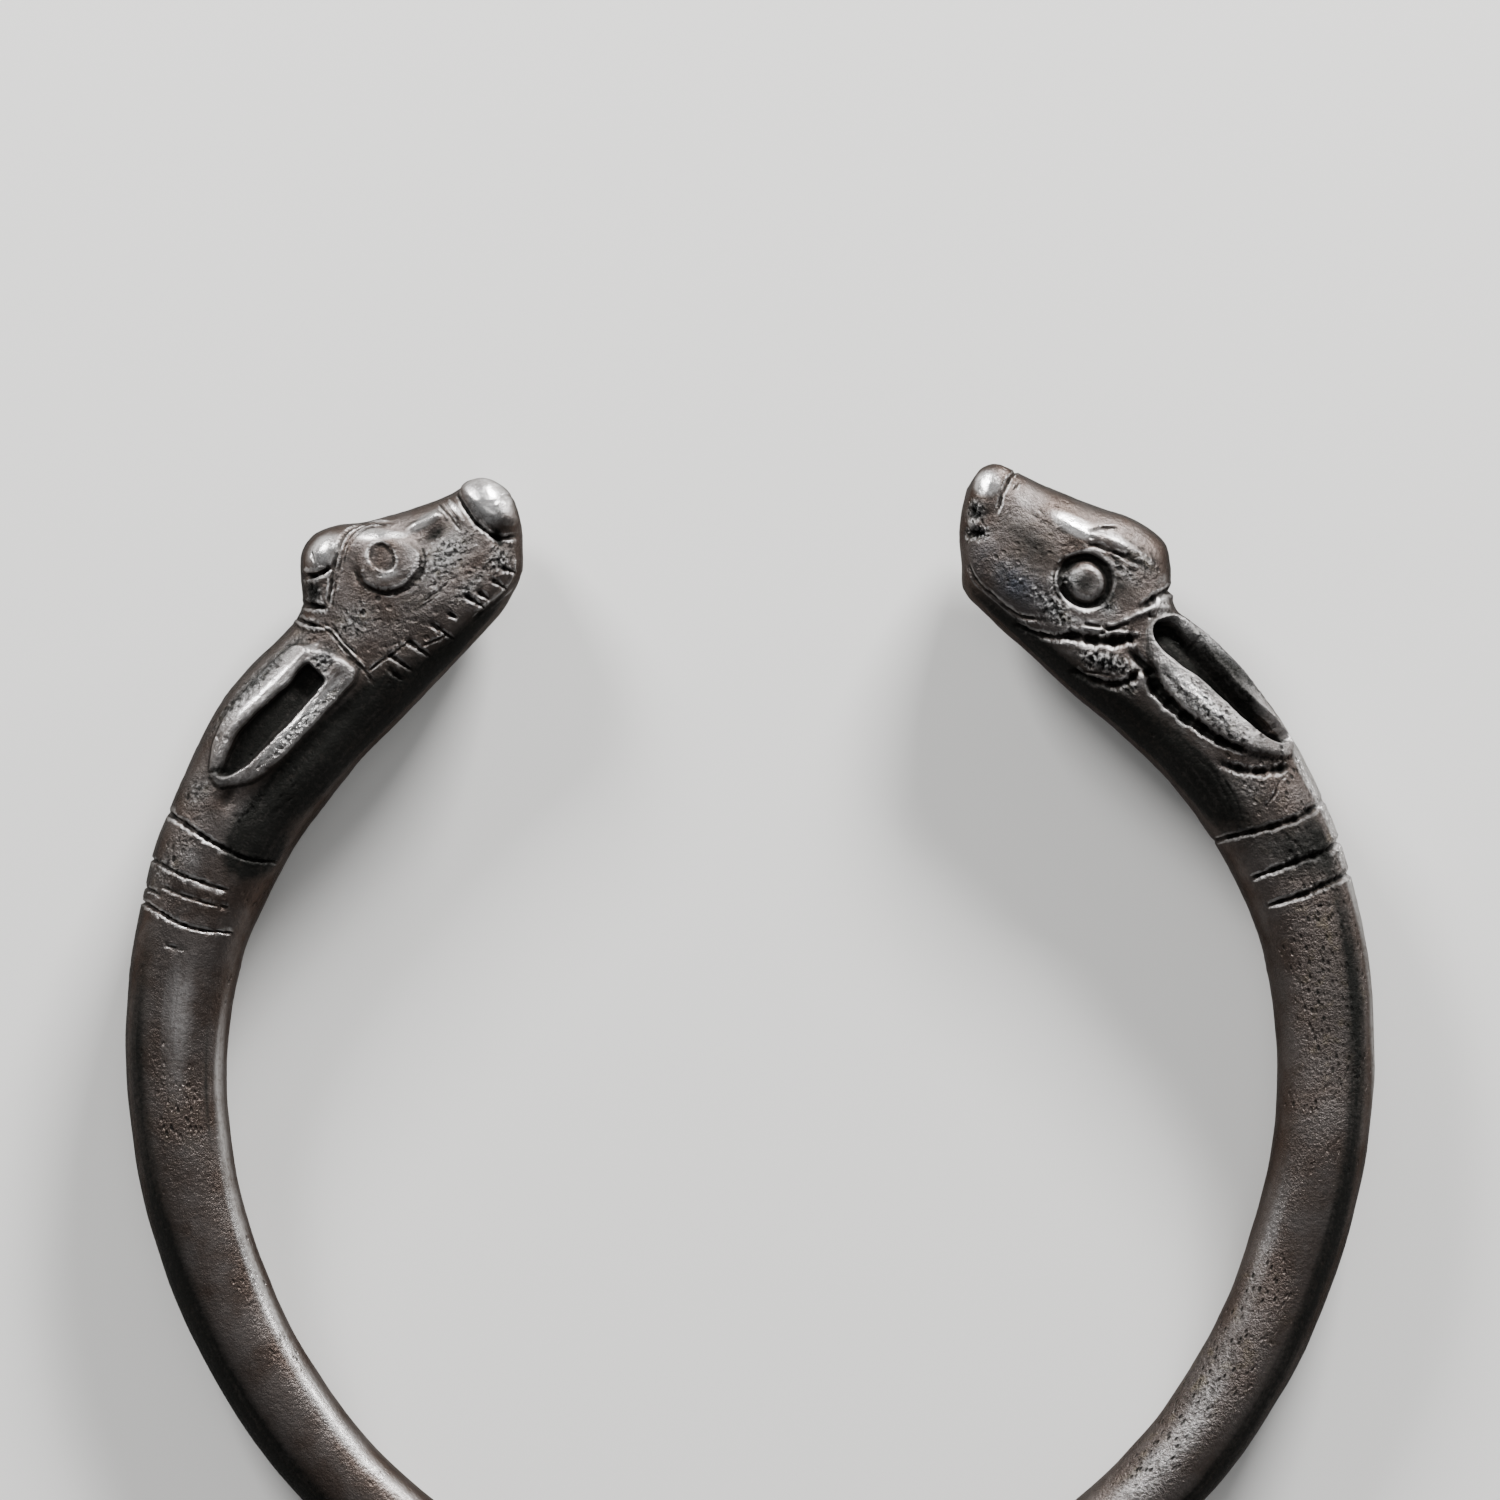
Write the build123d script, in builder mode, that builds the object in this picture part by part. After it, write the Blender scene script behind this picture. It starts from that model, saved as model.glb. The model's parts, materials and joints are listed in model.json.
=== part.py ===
from build123d import *

import os
from collections import namedtuple
from math import atan2, cos, pi, radians, sin, tan

# Open silver bracelet of one piece: a lightly hammered rod bent into a hoop, swelling into a neck at each end
# and finished with a long-eared animal head. The two heads face each other across the gap.
# The hoop is modelled about its own axis, +Z, with the gap towards +Y, and is laid on its side at the end.

# Sizes in millimetres and degrees
overall_width = 70.0  # across the hoop, outside to outside, at the sides
rod_thickness = 5.6  # across the rod in the hoop's plane, at the sides
rod_depth = 5.5  # across the rod along the hoop's axis, at the sides
collar_angle = 11.0  # where the rod becomes the neck, up from the sides
head_angle = 41.0  # where the neck becomes the head, up from the sides
left_neck_thickness = 8.1  # across the neck in the hoop's plane, where the head starts
right_neck_thickness = 7.4
left_head_length = 14.3  # along the jaw, from the neck to the nose
right_head_length = 15.1
left_head_height = 10.6  # from the jaw to the top of the poll
right_head_height = 10.0
left_head_rise = 46.2  # slope of the jaw's line, up from X
right_head_rise = 42.0
head_depth = 7.8  # across neck and head along the hoop's axis, without the ears
corner_share = 0.46  # how much of a side each of its two rounded corners takes
line_width = 0.34  # chased lines and strokes
hatch_slant = 62.0  # strokes across the mouth, up from the jaw's line
relief_height = 0.45  # ears and eyes, above the form of the neck and head
sunk_depth = 0.32  # lines, ear hollows and pupils, below that form

outer_radius = overall_width / 2

# One row a section of the hoop. angle goes up from the side's middle, outer is a share of outer_radius,
# thickness and depth are shares of the rod's own.
HoopRow = namedtuple("HoopRow", "angle outer thickness depth")
left_arm = [
    HoopRow(collar_angle, 1.001, 1.120, 1.08),
    HoopRow(-4, 1.000, 1.000, 1.00),
    HoopRow(-24, 1.005, 0.945, 0.97),
    HoopRow(-45, 1.020, 0.900, 0.94),
    HoopRow(-67, 1.041, 0.888, 0.93),
]
right_arm = [
    HoopRow(collar_angle, 1.000, 1.040, 1.06),
    HoopRow(-4, 1.000, 0.960, 0.99),
    HoopRow(-24, 1.009, 0.935, 0.97),
    HoopRow(-45, 1.029, 0.898, 0.94),
    HoopRow(-67, 1.048, 0.885, 0.93),
]
back = HoopRow(-90, 1.055, 0.882, 0.93)

# One row a section of the neck: outer is a share of outer_radius, thickness and depth of the neck's own.
NeckRow = namedtuple("NeckRow", "angle outer thickness depth")

# One row a section of the head. lean is its tilt towards the nose from square to the jaw, along is a share of
# the head's length. jaw and crown are its lowest and highest edges as shares of the head's height, and their
# widths are shares of its depth.
HeadRow = namedtuple("HeadRow", "along lean jaw crown jaw_width crown_width")

# A stroke lies in the head's side view, x along the jaw towards the nose and y towards the crown. Its ends
# are shares of the head's length and height, and bow is the arc's rise as a share of its chord.
Stroke = namedtuple("Stroke", "x1 y1 x2 y2 bow")

# A leaf has two pointed ends and an upper and a lower bow between them.
Leaf = namedtuple("Leaf", "x1 y1 x2 y2 upper_bow lower_bow")

# A disc has its centre as shares of the head's length and height, and its radius as a share of the height.
Disc = namedtuple("Disc", "x y radius")

# A line round the collar, angles up from the side's middle at the neck's outer and inner edge. reach is how
# much of the thickness it crosses.
CollarLine = namedtuple("CollarLine", "outer_angle inner_angle reach")

# A knob lies across the muzzle. Its width is a share of the head's depth, the rounding of its ends of its
# radius.
Knob = namedtuple("Knob", "x y radius width rounding")

Head = namedtuple(
    "Head",
    "side arm rise outer length height neck_thickness neck rows ear hollow eye eye_disc pupil nose mouth "
    "hatch_count hatch_length strokes collar_lines",
)

left_head = Head(
    side=-1,
    arm=left_arm,
    rise=left_head_rise,
    outer=1.000,
    length=left_head_length,
    height=left_head_height,
    neck_thickness=left_neck_thickness,
    neck=[
        NeckRow(18.5, 1.004, 0.856, 0.84),
        NeckRow(26, 1.005, 0.925, 0.88),
        NeckRow(33.5, 1.010, 1.005, 0.90),
    ],
    rows=[
        HeadRow(0.000, 0, -0.010, 0.745, 0.84, 0.80),
        HeadRow(0.115, 0, -0.012, 0.765, 0.86, 0.78),
        HeadRow(0.215, 0, -0.013, 0.905, 0.88, 0.74),
        HeadRow(0.315, 0, -0.014, 0.993, 0.90, 0.70),
        HeadRow(0.420, 0, -0.019, 0.960, 0.90, 0.72),
        HeadRow(0.520, 3, -0.022, 0.840, 0.88, 0.76),
        HeadRow(0.610, 8, -0.018, 0.715, 0.82, 0.70),
        HeadRow(0.690, 15, -0.005, 0.660, 0.74, 0.62),
        HeadRow(0.760, 22, 0.025, 0.630, 0.66, 0.58),
        HeadRow(0.833, 28, 0.090, 0.505, 0.52, 0.50),
    ],
    ear=Leaf(0.070, 0.440, -0.600, 0.420, 0.200, 0.165),
    hollow=Leaf(0.020, 0.445, -0.545, 0.425, 0.130, 0.085),
    eye=Disc(0.483, 0.600, 0.170),
    eye_disc=True,
    pupil=Disc(0.483, 0.632, 0.062),
    nose=Knob(0.900, 0.425, 0.137, 0.50, 0.7),
    mouth=Stroke(0.123, 0.277, 0.820, 0.104, 0.055),
    hatch_count=11,
    hatch_length=0.10,
    strokes=[
        Stroke(0.455, 0.845, 0.112, 0.300, 0.200),
        Stroke(0.255, 0.770, 0.205, 0.870, 0.0),
        Stroke(0.185, 0.670, 0.135, 0.770, 0.0),
        Stroke(0.120, 0.640, 0.070, 0.730, 0.0),
        Stroke(0.820, 0.500, 0.790, 0.640, 0.1),
    ],
    collar_lines=[
        CollarLine(21.8, 21.2, 1.00),
        CollarLine(17.8, 17.2, 0.80),
        CollarLine(15.7, 15.6, 0.75),
        CollarLine(13.8, 12.6, 0.90),
    ],
)

right_head = Head(
    side=1,
    arm=right_arm,
    rise=right_head_rise,
    outer=0.986,
    length=right_head_length,
    height=right_head_height,
    neck_thickness=right_neck_thickness,
    neck=[
        NeckRow(18.5, 1.000, 0.840, 0.82),
        NeckRow(26, 0.999, 0.910, 0.86),
        NeckRow(33.5, 0.996, 0.965, 0.89),
    ],
    rows=[
        HeadRow(0.000, 0, 0.008, 0.748, 0.84, 0.82),
        HeadRow(0.100, 0, 0.007, 0.750, 0.86, 0.80),
        HeadRow(0.200, 0, 0.005, 0.800, 0.88, 0.76),
        HeadRow(0.300, 0, 0.003, 0.938, 0.90, 0.72),
        HeadRow(0.400, 0, 0.003, 0.985, 0.90, 0.72),
        HeadRow(0.500, 2, 0.002, 0.918, 0.88, 0.76),
        HeadRow(0.595, 7, 0.000, 0.832, 0.84, 0.74),
        HeadRow(0.675, 14, 0.002, 0.778, 0.78, 0.70),
        HeadRow(0.735, 22, 0.020, 0.755, 0.72, 0.64),
        HeadRow(0.805, 29, 0.080, 0.680, 0.60, 0.54),
    ],
    ear=Leaf(0.200, 0.540, -0.570, 0.530, 0.150, 0.165),
    hollow=Leaf(0.160, 0.570, -0.500, 0.575, 0.085, 0.070),
    eye=Disc(0.450, 0.505, 0.134),
    eye_disc=False,
    pupil=Disc(0.450, 0.505, 0.090),
    nose=Knob(0.930, 0.525, 0.120, 0.44, 0.7),
    mouth=Stroke(0.210, 0.090, 0.780, 0.150, 0.08),
    hatch_count=0,
    hatch_length=0.0,
    strokes=[
        Stroke(0.215, 0.540, 0.200, 0.785, -0.15),
        Stroke(0.260, 0.560, 0.245, 0.800, -0.15),
        Stroke(0.300, 0.060, 0.270, 0.180, 0.1),
        Stroke(0.380, 0.050, 0.350, 0.170, 0.1),
        Stroke(0.460, 0.050, 0.430, 0.170, 0.1),
        Stroke(0.540, 0.060, 0.510, 0.170, 0.1),
        Stroke(0.900, 0.440, 0.840, 0.620, 0.2),
        Stroke(0.380, 0.700, 0.560, 0.640, 0.2),
    ],
    collar_lines=[
        CollarLine(23.3, 22.6, 1.00),
        CollarLine(19.7, 19.1, 0.90),
        CollarLine(16.1, 15.5, 0.85),
    ],
)


def radial_plane(side, angle):
    """The plane across the rod at an angle up from the side's middle, x outwards and z towards the gap."""
    out = (side * cos(radians(angle)), sin(radians(angle)), 0)
    ahead = (-side * sin(radians(angle)), cos(radians(angle)), 0)
    return Plane(origin=(0, 0, 0), x_dir=out, z_dir=ahead)


def side_view(head):
    """The hoop's plane seen from the head's side, x along the jaw to the nose and y towards the crown."""
    neck_start = radial_plane(head.side, head_angle).x_dir
    along = Vector(-head.side * cos(radians(head.rise)), sin(radians(head.rise)), 0)
    return Plane(
        origin=neck_start * (outer_radius * head.outer - head.neck_thickness),
        x_dir=along,
        z_dir=(0, 0, -head.side),
    )


def lean_plane(head, row):
    """The plane of one section of the head, leaning towards the nose."""
    view = side_view(head)
    lean = radians(row.lean)
    return Plane(
        origin=view.origin + view.x_dir * (row.along * head.length),
        x_dir=view.y_dir * cos(lean) + view.x_dir * sin(lean),
        z_dir=view.x_dir * cos(lean) - view.y_dir * sin(lean),
    )


def rounded_section(plane, low, high, low_width, high_width):
    """A section with four rounded corners. Its local x runs from low to high.

    Each corner's arc starts at the same share of the side, whether the corner is sharp or blunt.
    """
    slope = atan2((low_width - high_width) / 2, high - low)
    low_round = corner_share * min(low_width, high - low) * tan(pi / 4 - slope / 2)
    high_round = corner_share * min(high_width, high - low) * tan(pi / 4 + slope / 2)
    with BuildSketch(plane) as section:
        Polygon(
            (low, -low_width / 2),
            (high, -high_width / 2),
            (high, high_width / 2),
            (low, low_width / 2),
            align=None,
        )
        fillet(section.vertices().group_by(Axis.X)[0], low_round)
        fillet(section.vertices().group_by(Axis.X)[-1], high_round)
    return section.sketch


def hoop_section(side, row, grow=0.0):
    outer = outer_radius * row.outer
    inner = outer - rod_thickness * row.thickness
    width = rod_depth * row.depth + 2 * grow
    return rounded_section(radial_plane(side, row.angle), inner - grow, outer + grow, width, width)


def neck_section(head, row, grow=0.0):
    outer = outer_radius * row.outer
    inner = outer - head.neck_thickness * row.thickness
    width = head_depth * row.depth + 2 * grow
    return rounded_section(radial_plane(head.side, row.angle), inner - grow, outer + grow, width, width)


def head_section(head, row, grow=0.0):
    low = head.height * row.jaw - grow
    high = head.height * row.crown + grow
    low_width = head_depth * row.jaw_width + 2 * grow
    high_width = head_depth * row.crown_width + 2 * grow
    return rounded_section(lean_plane(head, row), low, high, low_width, high_width)


def head_form(head, grow=0.0):
    """Neck and head from the collar to the muzzle, grown by a thickness all round or shrunk by it."""
    collar = hoop_section(head.side, head.arm[0], grow)
    neck = [neck_section(head, row, grow) for row in head.neck]
    skull = [head_section(head, row, grow) for row in head.rows]
    with BuildPart() as form:
        loft(sections=[collar] + neck + skull[:1])
        loft(sections=skull)
    return form.part


def leaf_outline(head, leaf):
    start = (head.length * leaf.x1, head.height * leaf.y1)
    end = (head.length * leaf.x2, head.height * leaf.y2)
    span = abs(end[0] - start[0])
    with BuildSketch(side_view(head)) as outline:
        with BuildLine():
            SagittaArc(start, end, -leaf.upper_bow * span)
            SagittaArc(end, start, -leaf.lower_bow * span)
        make_face()
    return outline.sketch


def disc_outline(head, disc):
    with BuildSketch(side_view(head)) as outline:
        with Locations((head.length * disc.x, head.height * disc.y)):
            Circle(head.height * disc.radius)
    return outline.sketch


def eye_outline(head):
    """What is sunk at the eye: the pupil of a raised eye, or the ring round the pupil of a flat one."""
    if head.eye_disc:
        return disc_outline(head, head.pupil)
    with BuildSketch(Plane.XY) as ring:
        add(disc_outline(head, head.eye))
        add(disc_outline(head, head.pupil), mode=Mode.SUBTRACT)
    return ring.sketch


def stroke_path(head, stroke):
    """The middle line of a stroke, in the side view's own x and y."""
    start = (head.length * stroke.x1, head.height * stroke.y1)
    end = (head.length * stroke.x2, head.height * stroke.y2)
    if stroke.bow:
        span = (Vector(*end) - Vector(*start)).length
        return SagittaArc(start, end, stroke.bow * span, mode=Mode.PRIVATE)
    return Line(start, end, mode=Mode.PRIVATE)


def chased_outline(head):
    """The mouth with its hatching, and the other strokes of the face, all as narrow slots."""
    mouth = stroke_path(head, head.mouth)
    with BuildSketch(side_view(head)) as outline:
        SlotArc(mouth, line_width)
        for stroke in head.strokes:
            SlotArc(stroke_path(head, stroke), line_width)
        for step in range(head.hatch_count):
            at = mouth.position_at((step + 0.5) / head.hatch_count)
            with Locations(Location((at.X, at.Y, 0), (0, 0, hatch_slant))):
                SlotOverall(head.height * head.hatch_length, line_width)
    return outline.sketch


def collar_outline(head):
    """The lines round the collar, each from outside the neck's edge across its thickness."""
    with BuildSketch(Plane(origin=(0, 0, 0), x_dir=(head.side, 0, 0), z_dir=(0, 0, head.side))) as outline:
        for line in head.collar_lines:
            reach = head.neck_thickness * line.reach
            outer_end = Vector(outer_radius + line_width, 0).rotate(Axis.Z, line.outer_angle)
            inner_end = Vector(outer_radius - reach, 0).rotate(Axis.Z, line.inner_angle)
            SlotArc(Line(outer_end, inner_end, mode=Mode.PRIVATE), line_width)
    return outline.sketch


def raised_work(head):
    """Ears and eyes, on both sides of the head."""
    with BuildPart() as raised:
        extrude(leaf_outline(head, head.ear), amount=head_depth, both=True)
        if head.eye_disc:
            extrude(disc_outline(head, head.eye), amount=head_depth, both=True)
        add(head_form(head, grow=relief_height), mode=Mode.INTERSECT)
    return raised.part


def sunk_work(head):
    """The metal taken away by all lines, the ear hollows and the eyes, on both sides of the head."""
    with BuildPart() as removed:
        extrude(chased_outline(head), amount=head_depth, both=True)
        extrude(collar_outline(head), amount=head_depth, both=True)
        extrude(leaf_outline(head, head.hollow), amount=head_depth, both=True)
        extrude(eye_outline(head), amount=head_depth, both=True)
        add(head_form(head, grow=-sunk_depth), mode=Mode.SUBTRACT)
    return removed.part


def nose_knob(head):
    knob = head.nose
    radius = head.height * knob.radius
    with BuildPart() as nose:
        with BuildSketch(side_view(head)):
            with Locations((head.length * knob.x, head.height * knob.y)):
                Circle(radius)
        extrude(amount=head_depth * knob.width / 2, both=True)
        fillet(nose.edges().filter_by(GeomType.CIRCLE), radius * knob.rounding)
    return nose.part


def finished_head(head):
    with BuildPart() as finished:
        add(head_form(head))
        add(raised_work(head))
        add(nose_knob(head))
        add(sunk_work(head), mode=Mode.SUBTRACT)
    return finished.part


def hoop_form():
    left = [hoop_section(-1, row) for row in left_arm]
    right = [hoop_section(1, row) for row in reversed(right_arm)]
    with BuildPart() as form:
        loft(sections=left + [hoop_section(-1, back)] + right)
    return form.part


def resting_plane(upright):
    """The plane, leaning about X, on which an ear and the hoop's back touch the ground together."""
    ear = upright.vertices().sort_by(Axis.Z)[0]
    back_low = rod_depth * back.depth / 2
    back_y = rod_thickness * back.thickness / 2 - outer_radius * back.outer
    lean = atan2(-ear.Z - back_low, ear.Y - back_y)
    return Plane(origin=(0, 0, 0), x_dir=(1, 0, 0), z_dir=(0, -sin(lean), cos(lean)))


# The whole bracelet, first about the hoop's own axis
with BuildPart() as upright:
    add(hoop_form())
    add(finished_head(left_head))
    add(finished_head(right_head))

# Laid down on its side
with BuildPart(resting_plane(upright.part)) as leaning:
    add(upright.part)
box = leaning.part.bounding_box()

# Moved to stand on the origin
with BuildPart(Plane(origin=(-box.center().X, -box.center().Y, -box.min.Z))) as bracelet:
    add(leaning.part)
bracelet.part.label = "bracelet"

os.makedirs("parts", exist_ok=True)
export_step(bracelet.part, "parts/bracelet.step")
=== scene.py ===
"""Worn silver bracelet: an open hoop of hammered rod with two long-eared heads, and the stage it lies on.

The bracelet is one tube, closed at both muzzles, bent and drawn out to its sections and then chased.
Tables are in millimetres and degrees, properties and meshes in metres.
"""

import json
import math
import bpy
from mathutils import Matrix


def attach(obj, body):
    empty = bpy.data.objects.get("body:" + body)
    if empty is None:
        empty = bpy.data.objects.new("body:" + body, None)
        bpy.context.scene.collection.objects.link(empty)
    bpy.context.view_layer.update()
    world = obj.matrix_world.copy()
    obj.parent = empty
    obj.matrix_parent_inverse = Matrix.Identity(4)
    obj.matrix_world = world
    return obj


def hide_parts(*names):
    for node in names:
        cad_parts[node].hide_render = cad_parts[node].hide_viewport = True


bl_info = {
    "name": "Silver bracelet with two animal heads",
    "version": (1, 0, 0),
    "blender": (4, 5, 0),
    "location": "3D View > Sidebar > Bracelet",
    "description": "Builds a worn silver bracelet around its packed model, and the stage it is seen on",
    "category": "Add Mesh",
}

from collections import namedtuple

import bmesh
import bpy
import numpy as np
from bpy.props import FloatProperty, FloatVectorProperty, IntProperty, PointerProperty
from mathutils import Matrix, Vector, noise

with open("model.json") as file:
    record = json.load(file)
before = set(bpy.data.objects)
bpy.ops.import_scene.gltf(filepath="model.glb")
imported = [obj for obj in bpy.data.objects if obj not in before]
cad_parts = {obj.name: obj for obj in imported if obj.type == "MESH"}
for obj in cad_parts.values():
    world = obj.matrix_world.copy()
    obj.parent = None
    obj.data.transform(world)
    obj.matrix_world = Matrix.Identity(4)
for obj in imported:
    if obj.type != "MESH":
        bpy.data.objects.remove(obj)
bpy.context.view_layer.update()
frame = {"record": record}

MM = 0.001
WRIST = next(mount for mount in frame["record"]["mounts"] if mount["name"] == "wrist_opening")

# Where the necks end and the heads start: the lower corner of each head's side view in the hoop's plane,
# and the rise of its jaw's line.
LEFT_CORNER = (-20.40, 17.71)
LEFT_RISE = 46.2
RIGHT_CORNER = (20.39, 17.71)
RIGHT_RISE = 42.0

# One row a section of the rod and the neck. angle goes up from the side's middle. outer is a share of the
# hoop's half width, thickness and depth are the section's own.
RodRow = namedtuple("RodRow", "angle outer thickness depth")
LEFT_ROD = (
    RodRow(33.5, 1.010, 8.14, 7.02),
    RodRow(26, 1.005, 7.49, 6.86),
    RodRow(18.5, 1.004, 6.93, 6.55),
    RodRow(11, 1.001, 6.27, 5.94),
    RodRow(-4, 1.000, 5.60, 5.50),
    RodRow(-24, 1.005, 5.29, 5.34),
    RodRow(-45, 1.020, 5.04, 5.17),
    RodRow(-67, 1.041, 4.97, 5.12),
)
BACK_ROD = RodRow(-90, 1.055, 4.94, 5.12)
RIGHT_ROD = (
    RodRow(33.5, 0.996, 7.14, 6.94),
    RodRow(26, 0.999, 6.73, 6.71),
    RodRow(18.5, 1.000, 6.22, 6.40),
    RodRow(11, 1.000, 5.82, 5.83),
    RodRow(-4, 1.000, 5.38, 5.50),
    RodRow(-24, 1.009, 5.24, 5.34),
    RodRow(-45, 1.029, 5.03, 5.17),
    RodRow(-67, 1.048, 4.96, 5.12),
)

# One row a section of a head, from the neck to the muzzle's tip: where it meets the crown's and the jaw's
# outline in the side view, and how wide the head is there.
HeadRow = namedtuple("HeadRow", "crown jaw crown_width jaw_width")
LEFT_HEAD_ROWS = (
    HeadRow((0.0, 7.87), (0.0, -0.10), 6.2, 6.6),
    HeadRow((1.0, 7.90), (1.0, -0.12), 6.2, 6.7),
    HeadRow((1.8, 8.20), (1.8, -0.13), 6.1, 6.8),
    HeadRow((2.8, 9.20), (2.8, -0.15), 5.9, 6.9),
    HeadRow((3.9, 10.25), (3.8, -0.16), 5.6, 7.0),
    HeadRow((5.0, 10.50), (4.9, -0.18), 5.5, 7.0),
    HeadRow((6.4, 9.95), (6.1, -0.20), 5.6, 7.0),
    HeadRow((7.6, 8.93), (7.2, -0.15), 5.8, 6.9),
    HeadRow((9.0, 8.10), (8.3, -0.10), 5.5, 6.6),
    HeadRow((10.3, 7.40), (9.3, -0.02), 5.0, 6.2),
    HeadRow((11.4, 6.83), (10.2, 0.17), 4.7, 5.7),
    HeadRow((12.4, 6.43), (11.1, 0.43), 4.5, 5.2),
    HeadRow((13.2, 6.25), (11.9, 0.87), 4.3, 4.6),
    HeadRow((13.85, 5.85), (12.6, 1.50), 3.8, 3.8),
    HeadRow((14.25, 5.15), (13.3, 2.20), 2.7, 2.7),
    HeadRow((14.38, 4.40), (13.9, 3.00), 1.4, 1.4),
    HeadRow((14.30, 3.70), (14.30, 3.70), 0.0, 0.0),
)
RIGHT_HEAD_ROWS = (
    HeadRow((0.0, 7.50), (0.0, 0.10), 6.4, 6.5),
    HeadRow((1.0, 7.42), (1.0, 0.08), 6.3, 6.7),
    HeadRow((1.9, 7.37), (1.9, 0.06), 6.2, 6.8),
    HeadRow((2.8, 7.90), (2.8, 0.04), 6.0, 6.9),
    HeadRow((3.8, 8.92), (3.8, 0.02), 5.8, 7.0),
    HeadRow((4.8, 9.68), (4.8, 0.00), 5.6, 7.0),
    HeadRow((6.2, 9.75), (6.0, 0.00), 5.6, 7.0),
    HeadRow((7.5, 9.43), (7.1, 0.00), 5.8, 6.9),
    HeadRow((8.8, 8.78), (8.1, 0.00), 5.9, 6.7),
    HeadRow((10.1, 8.24), (9.1, 0.00), 5.7, 6.4),
    HeadRow((11.3, 7.82), (10.0, 0.01), 5.4, 6.0),
    HeadRow((12.4, 7.45), (10.9, 0.04), 5.0, 5.5),
    HeadRow((13.5, 7.20), (11.7, 0.30), 4.6, 5.0),
    HeadRow((14.4, 6.96), (12.5, 1.10), 4.2, 4.3),
    HeadRow((15.05, 6.60), (13.3, 1.90), 3.5, 3.5),
    HeadRow((15.37, 6.00), (14.0, 2.65), 2.6, 2.6),
    HeadRow((15.35, 5.30), (14.7, 3.70), 1.4, 1.4),
    HeadRow((15.20, 4.55), (15.20, 4.55), 0.0, 0.0),
)

# Chased work in a head's side view, points along the jaw and up towards the crown. A cut is a chisel line
# through its points. taper is how much it narrows to its last one, and burr how far the metal beside it
# stands up, as a share of the depth. A ridge stands up along its points. A pad is a raised or, with a
# height below nought, a sunk face inside its points, with a sloping edge, and a disc is an oval one, whose
# top slopes more softly by its softness. A swell is a soft bump or dip. A patch is pitted.
Cut = namedtuple("Cut", "half_width depth points taper burr", defaults=(0.0, 0.2))
Ridge = namedtuple("Ridge", "half_width height points")
Pad = namedtuple("Pad", "height edge points")
Disc = namedtuple("Disc", "height edge along up half_length half_height turn soft", defaults=(0.0,))
Swell = namedtuple("Swell", "height along up half_length half_height turn")
Patch = namedtuple("Patch", "depth grain along up half_length half_height turn", defaults=(0.0,))

# Where the metal is rubbed clean and painted with highlights, or with a share below nought stays under dark
# tarnish and painted shade, as below the ear rims and under the jaws.
Wear = namedtuple("Wear", "share along up half_length half_height turn")


def cuts(half_width, depth, *lines, taper=0.0, burr=0.2):
    """Cuts of one size, one for each line of points."""
    return tuple(Cut(half_width, depth, line, taper, burr) for line in lines)


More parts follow.
